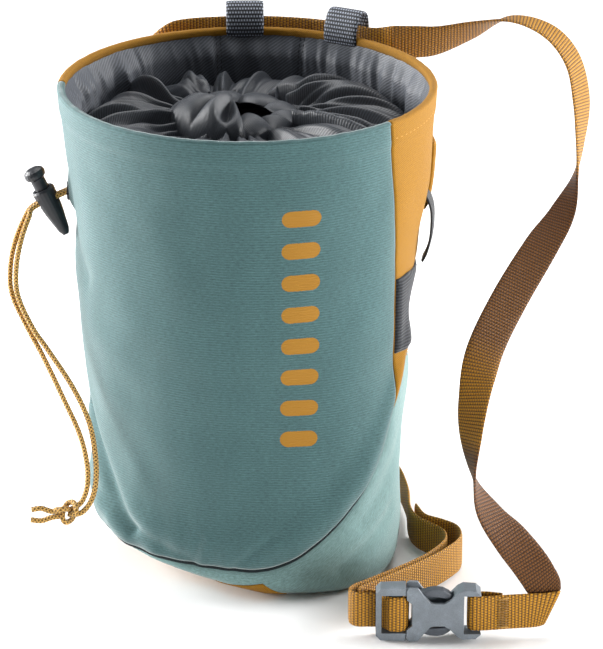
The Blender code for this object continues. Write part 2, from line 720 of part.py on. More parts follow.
def prism(name, outline, low, high, mat, place):
    """A plate with an (x, z) outline in mm, running from depth low to depth high."""
    count = len(outline)
    verts = [place @ Vector((x * MM, depth, z * MM)) for depth in (low, high) for x, z in outline]
    faces = [tuple(range(count)), tuple(reversed(range(count, 2 * count)))]
    for i in range(count):
        j = (i + 1) % count
        faces.append((i, i + count, j + count, j))
    return add_mesh(name, verts, faces, mat, smooth=False)


def mirrored(half):
    """Closes an outline given from left to right for its upper half."""
    return list(half) + [(x, -z) for x, z in reversed(half)]


def build_receiver():
    """The bone-shaped half: two plates that the latch arms slide between, joined at the strap end."""
    grey = material("buckle_receiver_plastic", BUCKLE_GREY, 0.42)
    place = buckle_matrix()
    depth = PLATE_GAP + PLATE_THICKNESS
    half = [(-6.8, 4.6), (-9.0, 6.6), (-9.0, 10.6), (-7.8, 11.6), (-4.4, 11.4), (-2.4, 8.6), (0.4, 5.4),
            (2.0, 4.9), (6.0, 4.9), (8.4, 6.4), (11.4, 9.6), (13.6, 10.8), (18.6, 10.4), (20.6, 8.6)]
    body = prism("buckle_receiver", mirrored(half), -depth, depth, grey, place)
    mouth = box("receiver_mouth_cutter", (-0.020, -PLATE_GAP, -0.020), (0.0098, PLATE_GAP, 0.020),
                grey, place)
    slot = box("receiver_slot_cutter", (0.0138, -0.02, -0.0082), (0.0172, 0.02, 0.0082), grey, place)
    front = box("receiver_bar_front_cutter", (0.0164, -0.02, -0.0082), (0.0300, -0.0012, 0.0082),
                grey, place)
    rear = box("receiver_bar_rear_cutter", (0.0164, 0.0012, -0.0082), (0.0300, 0.02, 0.0082), grey, place)
    for cutter in (mouth, slot, front, rear):
        cut(body, cutter)
    return body


def build_insert():
    """The ladder-lock half: a frame with two strap slots and a block that carries the latch arms."""
    grey = material("buckle_insert_plastic", BUCKLE_GREY, 0.45)
    place = buckle_matrix()
    half = [(-21.2, 9.2), (-19.4, 11.2), (-10.8, 11.5), (-9.3, 11.5), (-9.3, 9.4), (-4.4, 9.4),
            (-4.4, 3.8), (-1.0, 1.6), (5.0, 1.6), (6.4, 1.0)]
    body = prism("buckle_insert", mirrored(half), -0.0036, 0.0036, grey, place)
    for sign, name in ((-1, "front"), (1, "rear")):
        low = (-0.0091, min(sign * 0.0022, sign * 0.02), -0.03)
        high = (0.02, max(sign * 0.0022, sign * 0.02), 0.03)
        cut(body, box("insert_%s_step_cutter" % name, low, high, grey, place))
    slots = {
        "slot_left": ((-0.0190, -0.02, -0.0082), (-0.0152, 0.02, 0.0082)),
        "slot_right": ((-0.0108, -0.02, -0.0082), (-0.0070, 0.02, 0.0082)),
        "bar_front": ((-0.0160, -0.02, -0.0082), (-0.0100, -0.0014, 0.0082)),
        "bar_rear": ((-0.0160, 0.0010, -0.0082), (-0.0100, 0.02, 0.0082)),
        "front_bar_rear": ((-0.03, -0.0008, -0.0082), (-0.0186, 0.02, 0.0082)),
    }
    for name, (low, high) in slots.items():
        cut(body, box("insert_%s_cutter" % name, low, high, grey, place))
    return body


def build_arm(name, side):
    """One latch arm: a round root on the block, and a thumb pad that bulges out at the waist."""
    plastic = material(name + "_plastic", LOCK_BLACK, 0.4)
    place = buckle_matrix()
    root = [(-2.9 + 1.1 * math.cos(t), 8.0 + 1.1 * math.sin(t))
            for t in (math.radians(270.0 - 15.0 * i) for i in range(13))]
    outline = root + [(-1.6, 9.3), (0.4, 10.0), (3.0, 10.2), (5.6, 9.8), (8.0, 8.4), (9.2, 7.0), (8.6, 6.0),
                      (4.0, 6.6), (0.0, 6.9)]
    shaped = [(x, side * z) for x, z in outline]
    obj = prism(name, shaped, -ARM_THICKNESS / 2, ARM_THICKNESS / 2, plastic, place)
    pivot = place @ Vector((ARM_PIVOT.x, 0.0, side * ARM_PIVOT.z))
    move_origin(obj, pivot)
    return bevel(obj, 0.0004)


def move_origin(obj, point):
    obj.data.transform(Matrix.Translation(-point))
    obj.location = point


def build_buckle():
    bevel(build_receiver(), 0.0004)
    bevel(build_insert(), 0.0004)
    build_arm("latch_arm_upper", 1)
    build_arm("latch_arm_lower", -1)


# ---------------------------------------------------------------- drawcord and lock

STRAND_LEFT = (
    (-91.5, -7.0, 145.6), (-95.6, -10.5, 136.0), (-97.6, -12.5, 125.0), (-96.9, -14.5, 114.6),
    (-90.6, -20.0, 102.4), (-83.6, -27.0, 91.6), (-75.6, -36.0, 77.8), (-68.6, -44.0, 65.0),
    (-65.6, -49.0, 54.4), (-65.8, -52.0, 45.6), (-67.6, -53.4, 40.4),
)
STRAND_RIGHT = (
    (-89.6, -9.0, 146.6), (-93.0, -13.0, 137.0), (-95.0, -15.5, 125.4), (-94.2, -17.5, 114.8),
    (-88.2, -22.5, 103.0), (-81.6, -27.5, 95.0), (-71.6, -35.0, 82.0), (-65.0, -42.0, 70.2),
    (-62.2, -48.0, 58.2), (-61.6, -52.0, 48.0), (-63.2, -54.5, 39.4), (-67.0, -55.6, 34.4),
)


TIP_UPPER = ((-80.8, -56.4, 36.0), (-84.0, -57.0, 37.6), (-88.0, -57.4, 37.2))
TIP_LOWER = ((-80.6, -56.6, 33.2), (-84.0, -57.2, 32.2), (-88.4, -57.6, 32.8))
KNOT_AT = Vector((-0.0740, -0.0560, 0.0356))
KNOT_SIZE = (0.0062, 0.0040, 0.0045)


def lock_matrix():
    """The lock stands across the cord: its own Z runs up the plunger and its X along the cord."""
    along = lay_direction(EXIT_DIRECTION)
    across = Vector((0, 0, 1)).cross(along).normalized()
    upward = along.cross(across).normalized()
    centre = lay_point(EXIT_AT + EXIT_DIRECTION * LOCK_HOLE_DISTANCE)
    turned = Matrix((along, across, upward)).transposed().to_4x4()
    return Matrix.Translation(centre) @ turned


def turned_solid(name, profile, mat, place, segments=20):
    """Turns a closed (radius, height) profile about the Z axis of a placed frame."""
    size = len(profile)
    verts = []
    for i in range(segments):
        turn = math.tau * i / segments
        for radius, height in profile:
            verts.append(place @ Vector((radius * math.cos(turn), radius * math.sin(turn), height)))
    faces = []
    for i in range(segments):
        j = (i + 1) % segments
        for k in range(size - 1):
            faces.append((i * size + k, j * size + k, j * size + k + 1, i * size + k + 1))
    return add_mesh(name, verts, faces, mat)


def build_cord_lock():
    black = material("cord_lock_plastic", LOCK_BLACK, 0.45)
    place = lock_matrix()
    cup = [(0.0, -0.0166), (0.0014, -0.0164), (0.0024, -0.0142), (0.0040, -0.0056), (0.0047, 0.0010),
           (0.0049, 0.0044), (0.0044, 0.0052), (0.0034, 0.0052), (0.0034, -0.0090), (0.0, -0.0090)]
    body = turned_solid("cord_lock_body", cup, black, place)
    cut(body, slotted_cutter("lock_body_cutter", 0.0017, 0.0, black, place))
    head = [(0.0, -0.0042), (0.0030, -0.0042), (0.0030, 0.0098), (0.0042, 0.0108), (0.0046, 0.0122),
            (0.0042, 0.0136), (0.0026, 0.0146), (0.0, 0.0149)]
    plunger = turned_solid("cord_lock_plunger", head, material("plunger_plastic", LOCK_BLACK, 0.5), place)
    cut(plunger, slotted_cutter("plunger_cutter", 0.0017, 0.0018, black, place))
    coil(place)


def slotted_cutter(name, half_height, lift, mat, place):
    """A round-cornered channel for both cords, taller where the plunger has to travel past them."""
    low = (-0.02, -0.0027, -half_height)
    high = (0.02, 0.0027, half_height + 2 * lift)
    return box(name, low, high, mat, place)


def coil(place):
    turns = 4.0
    radius = 0.0022
    steps = 48
    low, high = -0.0084, -0.0048
    points = []
    for i in range(steps + 1):
        share = i / steps
        angle = math.tau * turns * share
        points.append(place @ Vector((radius * math.cos(angle), radius * math.sin(angle),
                                      low + (high - low) * share)))
    tube("cord_lock_spring", points, 0.00028, material("spring_steel", STEEL, 0.3, 1.0), 1)


def build_drawcord():
    cord = material("drawcord_strand_braid", CORD_TAN, 0.8)
    for name, side, route in (("drawcord_strand_left", -1, STRAND_LEFT),
                              ("drawcord_strand_right", 1, STRAND_RIGHT)):
        tube(name, strand_points(side, route), CORD_RADIUS, cord)
    build_knot(cord)
    build_eyelet()
    exit_cutters()


def strand_points(side, route):
    """A strand: straight from inside the bag out through the lock, then down its route."""
    across = Vector((0, 0, 1)).cross(EXIT_DIRECTION).normalized() * CORD_SPREAD * side
    straight = [EXIT_AT + EXIT_DIRECTION * reach + across for reach in (-0.030, -0.012, 0.0, 0.0150)]
    places = straight + [Vector(point) * MM for point in route]
    return [lay_point(point) for point in spline(places, 4)]


def build_knot(cord):
    """The overhand knot that joins the two strands, as one plump lump with its two tips."""
    turn = LAY @ Matrix.Rotation(math.radians(-18.0), 4, "Y")
    shape = Matrix.Translation(lay_point(KNOT_AT)) @ turn @ Matrix.Diagonal((*KNOT_SIZE, 1.0))
    bm = bmesh.new()
    bmesh.ops.create_icosphere(bm, subdivisions=3, radius=1.0)
    bmesh.ops.transform(bm, matrix=shape, verts=bm.verts)
    verts = [vert.co.copy() for vert in bm.verts]
    faces = [[vert.index for vert in face.verts] for face in bm.faces]
    bm.free()
    add_mesh("cord_knot", verts, faces, cord)
    for name, route in (("cord_tip_upper", TIP_UPPER), ("cord_tip_lower", TIP_LOWER)):
        points = [lay_point(point) for point in spline([Vector(p) * MM for p in route], 3)]
        tube(name, points, CORD_RADIUS, cord)


def exit_matrix():
    """At the exit, with Z straight out of the wall."""
    outward = lay_direction((EXIT_AT.x, EXIT_AT.y, 0.0)).normalized()
    turned = outward.to_track_quat("Z", "Y").to_matrix().to_4x4()
    return Matrix.Translation(lay_point(EXIT_AT)) @ turned


def build_eyelet():
    """A flanged ring in the wall that both cords run out through."""
    metal = material("eyelet_metal", LOCK_BLACK, 0.35, 0.8)
    profile = [(0.0034, -0.0030), (0.0039, -0.0030), (0.0039, 0.0008), (0.0056, 0.0008), (0.0056, 0.0014),
               (0.0046, 0.0020), (0.0034, 0.0016), (0.0034, -0.0030)]
    turned_solid("drawcord_eyelet", profile, metal, exit_matrix())


def exit_cutters():
    """The hole for the eyelet and the cords through every layer of the wall, wider further in."""
    profile = [(0.0, -0.0120), (0.0062, -0.0120), (0.0043, -0.0015), (0.0043, 0.0100), (0.0, 0.0100)]
    cutter = turned_solid("exit_cutter", profile, material("cutter", FOAM_GREY), exit_matrix(), 16)
    for name in ("front_panel", "wall_foam", "chalk_pouch_front"):
        cut(bpy.data.objects[name], cutter)


def main():
    clear_scene()
    build_panels()
    build_rim()
    build_back_details()
    build_belt_loops()
    build_inside()
    build_belt()
    build_buckle()
    build_cord_lock()
    build_drawcord()


main()
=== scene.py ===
import json
import math

import bmesh
import bpy
from mathutils import Matrix, Vector, noise
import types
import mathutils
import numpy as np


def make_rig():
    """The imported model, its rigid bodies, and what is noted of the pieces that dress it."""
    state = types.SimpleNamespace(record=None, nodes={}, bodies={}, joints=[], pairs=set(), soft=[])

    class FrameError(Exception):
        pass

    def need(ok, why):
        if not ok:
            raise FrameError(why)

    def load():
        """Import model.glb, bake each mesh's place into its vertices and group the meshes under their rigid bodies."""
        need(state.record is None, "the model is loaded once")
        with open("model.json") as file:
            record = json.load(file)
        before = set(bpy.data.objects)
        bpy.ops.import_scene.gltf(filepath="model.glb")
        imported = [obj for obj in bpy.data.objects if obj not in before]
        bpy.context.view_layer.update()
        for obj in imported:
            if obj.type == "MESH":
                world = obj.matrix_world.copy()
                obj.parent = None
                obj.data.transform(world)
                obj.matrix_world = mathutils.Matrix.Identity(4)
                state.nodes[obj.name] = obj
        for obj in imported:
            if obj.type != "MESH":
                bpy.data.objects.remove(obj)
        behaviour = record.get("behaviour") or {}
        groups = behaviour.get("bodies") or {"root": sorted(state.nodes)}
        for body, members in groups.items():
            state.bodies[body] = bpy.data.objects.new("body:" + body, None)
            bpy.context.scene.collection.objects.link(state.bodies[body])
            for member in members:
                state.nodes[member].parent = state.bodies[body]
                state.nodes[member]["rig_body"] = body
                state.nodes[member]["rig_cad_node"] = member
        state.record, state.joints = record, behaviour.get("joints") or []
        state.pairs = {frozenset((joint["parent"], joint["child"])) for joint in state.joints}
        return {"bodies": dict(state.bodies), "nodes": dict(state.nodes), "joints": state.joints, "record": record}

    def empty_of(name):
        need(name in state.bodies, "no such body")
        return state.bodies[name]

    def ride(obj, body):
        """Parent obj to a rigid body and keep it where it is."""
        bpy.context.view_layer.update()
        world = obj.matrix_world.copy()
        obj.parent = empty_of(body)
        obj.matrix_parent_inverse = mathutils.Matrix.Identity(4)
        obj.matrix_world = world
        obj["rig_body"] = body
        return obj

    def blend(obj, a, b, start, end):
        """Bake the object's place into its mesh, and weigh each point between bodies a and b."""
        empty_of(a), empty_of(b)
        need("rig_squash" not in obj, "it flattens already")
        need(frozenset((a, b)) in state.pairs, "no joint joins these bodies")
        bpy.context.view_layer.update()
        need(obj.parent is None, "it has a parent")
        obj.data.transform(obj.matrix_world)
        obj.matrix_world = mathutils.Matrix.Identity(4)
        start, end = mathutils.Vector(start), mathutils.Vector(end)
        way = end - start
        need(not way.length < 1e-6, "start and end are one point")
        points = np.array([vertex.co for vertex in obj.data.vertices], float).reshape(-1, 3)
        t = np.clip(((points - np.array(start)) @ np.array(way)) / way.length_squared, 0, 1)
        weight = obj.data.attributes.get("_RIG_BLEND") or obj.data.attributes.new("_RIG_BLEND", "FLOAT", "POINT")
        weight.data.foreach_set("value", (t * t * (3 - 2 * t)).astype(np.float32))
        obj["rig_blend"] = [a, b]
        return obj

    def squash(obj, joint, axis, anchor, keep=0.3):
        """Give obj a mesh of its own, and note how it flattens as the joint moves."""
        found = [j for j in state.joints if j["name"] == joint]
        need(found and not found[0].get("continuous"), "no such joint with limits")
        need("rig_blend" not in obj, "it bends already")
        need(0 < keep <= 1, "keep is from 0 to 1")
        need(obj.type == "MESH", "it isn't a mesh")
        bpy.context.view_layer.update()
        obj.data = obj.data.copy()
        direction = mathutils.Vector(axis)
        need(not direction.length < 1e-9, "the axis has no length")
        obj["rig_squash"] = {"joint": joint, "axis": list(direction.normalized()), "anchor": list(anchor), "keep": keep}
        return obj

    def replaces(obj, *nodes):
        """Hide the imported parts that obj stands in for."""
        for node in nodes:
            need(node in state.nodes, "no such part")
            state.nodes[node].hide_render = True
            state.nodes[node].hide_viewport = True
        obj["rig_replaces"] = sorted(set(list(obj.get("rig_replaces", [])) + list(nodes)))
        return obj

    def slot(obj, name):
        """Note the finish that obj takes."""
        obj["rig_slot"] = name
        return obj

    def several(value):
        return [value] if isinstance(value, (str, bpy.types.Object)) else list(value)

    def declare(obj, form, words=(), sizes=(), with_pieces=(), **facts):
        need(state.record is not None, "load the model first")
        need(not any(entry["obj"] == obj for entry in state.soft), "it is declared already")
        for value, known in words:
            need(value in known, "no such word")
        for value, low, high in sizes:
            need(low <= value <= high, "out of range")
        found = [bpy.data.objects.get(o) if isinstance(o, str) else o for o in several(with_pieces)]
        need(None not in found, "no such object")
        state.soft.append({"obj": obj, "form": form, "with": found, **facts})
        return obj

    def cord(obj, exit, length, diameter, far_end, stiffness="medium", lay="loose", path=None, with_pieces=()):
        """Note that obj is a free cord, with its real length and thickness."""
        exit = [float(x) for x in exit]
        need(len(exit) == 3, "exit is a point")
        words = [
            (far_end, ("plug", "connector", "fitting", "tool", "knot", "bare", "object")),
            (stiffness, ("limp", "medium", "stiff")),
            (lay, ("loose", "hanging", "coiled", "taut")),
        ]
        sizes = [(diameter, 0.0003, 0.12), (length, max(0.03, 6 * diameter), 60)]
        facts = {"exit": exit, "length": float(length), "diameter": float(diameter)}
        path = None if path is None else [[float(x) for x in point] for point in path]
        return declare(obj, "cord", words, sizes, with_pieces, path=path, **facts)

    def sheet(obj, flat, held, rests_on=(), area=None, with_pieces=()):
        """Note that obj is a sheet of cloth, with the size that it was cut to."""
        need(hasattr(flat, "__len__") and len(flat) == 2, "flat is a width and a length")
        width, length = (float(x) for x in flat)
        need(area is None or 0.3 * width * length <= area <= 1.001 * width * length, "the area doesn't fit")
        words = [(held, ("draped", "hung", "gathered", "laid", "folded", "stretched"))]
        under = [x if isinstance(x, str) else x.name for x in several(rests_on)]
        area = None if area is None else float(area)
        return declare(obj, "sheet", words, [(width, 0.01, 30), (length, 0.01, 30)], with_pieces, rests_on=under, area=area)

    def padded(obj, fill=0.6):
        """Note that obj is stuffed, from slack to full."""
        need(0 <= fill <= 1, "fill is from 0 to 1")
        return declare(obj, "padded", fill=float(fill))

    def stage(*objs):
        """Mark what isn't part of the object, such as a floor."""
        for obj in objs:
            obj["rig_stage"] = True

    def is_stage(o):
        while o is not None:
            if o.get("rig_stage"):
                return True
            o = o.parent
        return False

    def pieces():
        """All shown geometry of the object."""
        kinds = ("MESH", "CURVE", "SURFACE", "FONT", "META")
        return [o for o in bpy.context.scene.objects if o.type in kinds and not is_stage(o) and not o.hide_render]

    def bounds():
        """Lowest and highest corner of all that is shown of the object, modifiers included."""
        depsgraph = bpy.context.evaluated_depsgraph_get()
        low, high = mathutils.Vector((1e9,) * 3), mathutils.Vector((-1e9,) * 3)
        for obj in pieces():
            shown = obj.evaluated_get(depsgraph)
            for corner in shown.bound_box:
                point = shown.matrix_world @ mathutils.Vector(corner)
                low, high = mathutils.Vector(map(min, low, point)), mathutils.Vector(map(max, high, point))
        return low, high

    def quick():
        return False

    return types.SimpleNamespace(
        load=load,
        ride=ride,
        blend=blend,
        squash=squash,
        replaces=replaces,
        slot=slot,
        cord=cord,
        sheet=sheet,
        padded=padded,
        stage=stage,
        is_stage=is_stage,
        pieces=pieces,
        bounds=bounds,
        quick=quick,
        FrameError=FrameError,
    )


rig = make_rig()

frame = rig.load()
CAD_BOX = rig.bounds()
NODES = frame["nodes"]

MM = 0.001
LAY_TURN = 21.0
LAY = Matrix.Rotation(math.radians(LAY_TURN), 4, "Z")

# The bag's walls, in metres and degrees round the bag
HEIGHT = 0.200
TOP_RADIUS = 0.0772
BASE_RADIUS = 0.0625
CORNER_ROUND = 0.009
RIM_INNER = TOP_RADIUS - 0.0030
CROWN_START = 0.1984
CROWN_RISE = 0.0016
FRONT_START = 200.0
BAND_START = 344.3
BAND_MIDDLE = 21.0
BRUSH_AT = 14.0
BACK_MIDDLE = 111.0
RIM_RISE = 0.0036
PANEL_ARC = 0.072
LIFT_START = 150.0
LIFT_END = 298.0
LIFT_HEIGHT = 0.0135
CLOTH_THICKNESS = 0.0012
EXIT_HOLE = 0.0036
EXIT_AT = Vector((-0.0740, -0.0040, 0.1564))
EXIT_DIRECTION = Vector((-0.9, -0.02, -0.43)).normalized()
CORD_RADIUS = 0.00112
CORD_SPREAD = 0.0014
BELT_WIDTH = 0.0150
BELT_THICKNESS = 0.0014


# ---------------------------------------------------------------- materials

def plug(tree, value, socket):
    """Links an output socket to an input, or sets the input to a value."""
    if isinstance(value, bpy.types.NodeSocket):
        tree.links.new(value, socket)
    else:
        socket.default_value = value


def node(tree, kind, inputs=None, **settings):
    made = tree.nodes.new("ShaderNode" + kind)
    for key, value in settings.items():
        setattr(made, key, value)
    for key, value in (inputs or {}).items():
        plug(tree, value, made.inputs[key])
    return made


def calc(tree, operation, *values, clamp=False):
    """One Math node's output."""
    made = node(tree, "Math", operation=operation, use_clamp=clamp)
    for socket, value in zip(made.inputs, values):
        plug(tree, value, socket)
    return made.outputs[0]


def mul(tree, first, second):
    return calc(tree, "MULTIPLY", first, second)


def madd(tree, value, factor, more, clamp=False):
    """value * factor + more."""
    return calc(tree, "MULTIPLY_ADD", value, factor, more, clamp=clamp)


def start_material(name, **constants):
    """A material whose Principled shader has these constants, such as Sheen_Weight=0.3."""
    mat = bpy.data.materials.new(name)
    mat.use_nodes = True
    tree = mat.node_tree
    shader = tree.nodes["Principled BSDF"]
    for key, value in constants.items():
        shader.inputs[key.replace("_", " ")].default_value = value
    return mat, tree, shader


def weave_uv(tree):
    """The distances in metres along a piece and across it."""
    uv = node(tree, "UVMap", uv_map="weave")
    split = node(tree, "SeparateXYZ", {"Vector": uv.outputs[0]})
    return split.outputs[0], split.outputs[1]


def object_point(tree):
    return node(tree, "TexCoord").outputs["Object"]


def noise_at(tree, vector, scale, detail=2.0, roughness=0.5):
    made = node(tree, "TexNoise", {"Vector": vector, "Scale": scale, "Detail": detail,
                                   "Roughness": roughness})
    return made.outputs[0]


def stretched(tree, u, v, along, across):
    """A vector for threads: the two distances scaled apart."""
    return node(tree, "CombineXYZ", {"X": mul(tree, u, along),
                                     "Y": mul(tree, v, across)}).outputs[0]


def ramp(tree, value, *stops):
    made = node(tree, "ValToRGB", {"Fac": value})
    elements = made.color_ramp.elements
    while len(elements) < len(stops):
        elements.new(0.5)
    for element, (place, colour) in zip(elements, stops):
        element.position = place
        element.color = (*colour, 1.0)
    return made.outputs[0]


def mix(tree, share, first, second, blend="MIX"):
    made = node(tree, "Mix", data_type="RGBA", blend_type=blend)
    plug(tree, share, made.inputs[0])
    plug(tree, first, made.inputs[6])
    plug(tree, second, made.inputs[7])
    return made.outputs[2]


def bump(tree, shader, height, distance, strength=1.0):
    made = node(tree, "Bump", {"Height": height, "Distance": distance, "Strength": strength})
    tree.links.new(made.outputs[0], shader.inputs["Normal"])


def dimmed(colour, share):
    return tuple(c * share for c in colour)


def three_tone(tree, tone, colour, dark, light, places):
    """A colour ramp from a darker to a lighter shade of a colour."""
    low, middle, high = places
    return ramp(tree, tone, (low, dimmed(colour, dark)), (middle, colour), (high, dimmed(colour, light)))


def surface(tree, shader, colour, grain, spread, rough):
    """Joins the base colour, and a roughness that a grain varies by spread above rough."""
    tree.links.new(colour, shader.inputs["Base Color"])
    tree.links.new(madd(tree, grain, spread, rough, clamp=True), shader.inputs["Roughness"])


def wave(tree, distance, pitch, phase=0.0):
    """A wave from 0 to 1 with this pitch along a distance."""
    turned = madd(tree, distance, math.tau / pitch, phase)
    return madd(tree, calc(tree, "SINE", turned), 0.5, 0.5)


def rib_fabric(name, colour, sheen=0.35, bars=False, ribbed=1.0, rib=0.00108):
    """Melange cloth with fine level ribs, and a column of plain printed bars where asked; without the bars, painted
    shade in a band just below its top edge.
    """
    mat, tree, shader = start_material(name, Sheen_Weight=sheen, Sheen_Roughness=0.45,
                                       Specular_IOR_Level=0.25)
    u, v = weave_uv(tree)
    threads = noise_at(tree, stretched(tree, u, v, 520.0, 1900.0), 1.0, 2.0, 0.65)
    speckle = noise_at(tree, stretched(tree, u, v, 1700.0, 2300.0), 1.0, 2.0, 0.7)
    wander = noise_at(tree, stretched(tree, u, v, 60.0, 60.0), 1.0)
    strength = noise_at(tree, stretched(tree, u, v, 90.0, 40.0), 1.0, 1.0)
    level = madd(tree, wander, 0.0009, v)
    ribs = mul(tree, wave(tree, level, rib), mul(tree, strength, ribbed))
    tone = madd(tree, ribs, 0.26, mul(tree, threads, 0.62))
    tone = madd(tree, speckle, 0.36, tone)
    cloth = three_tone(tree, tone, colour, 0.60, 1.50, (0.36, 0.56, 0.80))
    patches = noise_at(tree, object_point(tree), 22.0, 3.0)
    cloth = mix(tree, mul(tree, patches, 0.30), cloth, (*dimmed(colour, 0.7), 1.0))
    if bars:
        cloth = mix(tree, bar_mask(tree, u, v, speckle), cloth, (0.36, 0.165, 0.010, 1.0))
    else:
        # Painted shade in a band just below the cloth's top edge, the wrap seam, where the front panel's edge shades
        # the wrap.
        wear_and_painted_shade = madd(tree, wander, 0.004, mul(tree, v, -1.0))
        shade = ramp(tree, mul(tree, wear_and_painted_shade, 100.0), (0.08, (0.62, 0.62, 0.62)),
                     (0.55, (0.0, 0.0, 0.0)))
        cloth = mix(tree, shade, cloth, (*dimmed(colour, 0.22), 1.0))
    surface(tree, shader, cloth, speckle, 0.2, 0.74)
    height = madd(tree, ribs, 0.6, mul(tree, threads, 0.6))
    height = madd(tree, speckle, 0.5, height)
    bump(tree, shader, height, 0.00022, 0.8)
    return mat


BAR_MIDDLE = math.radians(308.0) * PANEL_ARC
BAR_LOW = 0.066
BAR_PITCH = 0.0135
BAR_COUNT = 8


def bar_mask(tree, u, v, speckle):
    """One column of level bars with round ends, the print a little rubbed on the ribs."""
    up = calc(tree, "SUBTRACT", v, BAR_LOW)
    within = calc(tree, "SUBTRACT", calc(tree, "MODULO", up, BAR_PITCH), BAR_PITCH / 2)
    side = calc(tree, "ABSOLUTE", calc(tree, "SUBTRACT", u, BAR_MIDDLE))
    past = calc(tree, "MAXIMUM", calc(tree, "SUBTRACT", side, 0.0042), 0.0)
    reach = calc(tree, "SQRT", calc(tree, "ADD", mul(tree, past, past),
                                    mul(tree, within, within)))
    edge = madd(tree, speckle, 0.0007, 0.0031)
    bar = calc(tree, "MULTIPLY", calc(tree, "SUBTRACT", edge, reach), 6000.0, clamp=True)
    above = calc(tree, "GREATER_THAN", up, 0.0)
    below = calc(tree, "LESS_THAN", up, BAR_PITCH * BAR_COUNT)
    return mul(tree, mul(tree, bar, above), mul(tree, below, 0.94))


def canvas(name, colour, pitch=0.00085, sheen=0.2, depth=0.00016):
    """Plain weave: threads over and under at one pitch, in a slightly uneven colour."""
    mat, tree, shader = start_material(name, Sheen_Weight=sheen, Sheen_Roughness=0.5,
                                       Specular_IOR_Level=0.3)
    u, v = weave_uv(tree)
    across = wave(tree, u, pitch)
    along = wave(tree, v, pitch)
    cells = calc(tree, "ABSOLUTE", calc(tree, "SUBTRACT", across, along))
    fibre = noise_at(tree, stretched(tree, u, v, 1100.0, 900.0), 1.0, 3.0, 0.65)
    tone = madd(tree, cells, 0.38, mul(tree, fibre, 0.62))
    cloth = three_tone(tree, tone, colour, 0.62, 1.28, (0.22, 0.5, 0.8))
    patches = noise_at(tree, object_point(tree), 30.0, 3.0)
    cloth = mix(tree, mul(tree, patches, 0.35), cloth, (*dimmed(colour, 0.72), 1.0))
    surface(tree, shader, cloth, fibre, 0.2, 0.72)
    bump(tree, shader, madd(tree, fibre, 0.5, cells), depth, 0.8)
    return mat


def webbing(name, colour, dark, along=0.0014, across=0.00115, light=1.35, wear_and_painted_shade=()):
    """Narrow woven strap: rows of short ribs across it, with dark gaps where the threads dip.

    The last argument lists shares of a 0.35 m strap, each with how dark its cloth is there: painted shade where the
    strap turns away from the light.
    """
    mat, tree, shader = start_material(name, Sheen_Weight=0.05, Sheen_Roughness=0.4,
                                       Specular_IOR_Level=0.4)
    u, v = weave_uv(tree)
    rows = wave(tree, u, along)
    shift = mul(tree, calc(tree, "FLOOR", calc(tree, "DIVIDE", u, along)), across / 2)
    cells = wave(tree, calc(tree, "ADD", v, shift), across)
    fibre = noise_at(tree, stretched(tree, u, v, 1400.0, 2200.0), 1.0, 2.0, 0.6)
    raised = mul(tree, calc(tree, "POWER", rows, 0.6), calc(tree, "POWER", cells, 0.45))
    tone = madd(tree, fibre, 0.30, mul(tree, raised, 0.80))
    cloth = ramp(tree, tone, (0.16, dark), (0.52, colour), (0.95, dimmed(colour, light)))
    # Painted shade: the listed stretches of the strap are darkened where it turns away from the lamps.
    if wear_and_painted_shade:
        share = ramp(tree, calc(tree, "DIVIDE", u, 0.35), *[(at, (deep,) * 3) for at, deep in wear_and_painted_shade])
        cloth = mix(tree, share, cloth, (0.29, 0.21, 0.05, 1.0), "MULTIPLY")
    surface(tree, shader, cloth, fibre, 0.22, 0.52)
    bump(tree, shader, madd(tree, fibre, 0.25, raised), 0.00030, 0.9)
    return mat


def twill(name, colour, gloss=0.42, pitch=0.0011, sheen=0.5):
    """Shiny lining twill: fine slanting lines."""
    mat, tree, shader = start_material(name, Sheen_Weight=sheen, Sheen_Roughness=0.3,
                                       Specular_IOR_Level=0.6)
    u, v = weave_uv(tree)
    slant = wave(tree, madd(tree, u, 0.7, v), pitch)
    fibre = noise_at(tree, stretched(tree, u, v, 900.0, 1500.0), 1.0, 2.0, 0.6)
    tone = madd(tree, slant, 0.5, mul(tree, fibre, 0.5))
    cloth = three_tone(tree, tone, colour, 0.55, 1.9, (0.2, 0.5, 0.85))
    surface(tree, shader, cloth, fibre, 0.18, gloss)
    bump(tree, shader, madd(tree, fibre, 0.3, slant), 0.00010, 0.7)
    return mat


def elastic(name, colour, light):
    """Ribbed elastic: level cords with fine pale flecks between them."""
    mat, tree, shader = start_material(name, Specular_IOR_Level=0.3, Sheen_Weight=0.2)
    u, v = weave_uv(tree)
    ribs = wave(tree, v, 0.0013)
    flecks = noise_at(tree, stretched(tree, u, v, 1700.0, 900.0), 1.0, 1.0)
    tone = mul(tree, calc(tree, "ADD", ribs, flecks), 0.5)
    cloth = ramp(tree, tone, (0.25, dimmed(colour, 0.5)), (0.55, colour), (0.82, light))
    surface(tree, shader, cloth, flecks, 0.2, 0.62)
    bump(tree, shader, madd(tree, flecks, 0.4, ribs), 0.00025, 0.9)
    return mat


def braid(name, colour, dark):
    """Round braided cord: two sets of threads crossing round it."""
    mat, tree, shader = start_material(name, Sheen_Weight=0.2, Specular_IOR_Level=0.35)
    u, v = weave_uv(tree)
    left = wave(tree, madd(tree, v, 0.8, u), 0.0015)
    right = wave(tree, madd(tree, v, -0.8, u), 0.0015)
    cells = calc(tree, "MAXIMUM", calc(tree, "POWER", left, 2.0), calc(tree, "POWER", right, 2.0))
    fibre = noise_at(tree, stretched(tree, u, v, 1800.0, 1800.0), 1.0, 1.0)
    tone = madd(tree, fibre, 0.35, mul(tree, cells, 0.65))
    cloth = ramp(tree, tone, (0.30, dark), (0.56, colour), (0.88, dimmed(colour, 1.45)))
    surface(tree, shader, cloth, fibre, 0.2, 0.55)
    bump(tree, shader, cells, 0.0004, 1.0)
    return mat


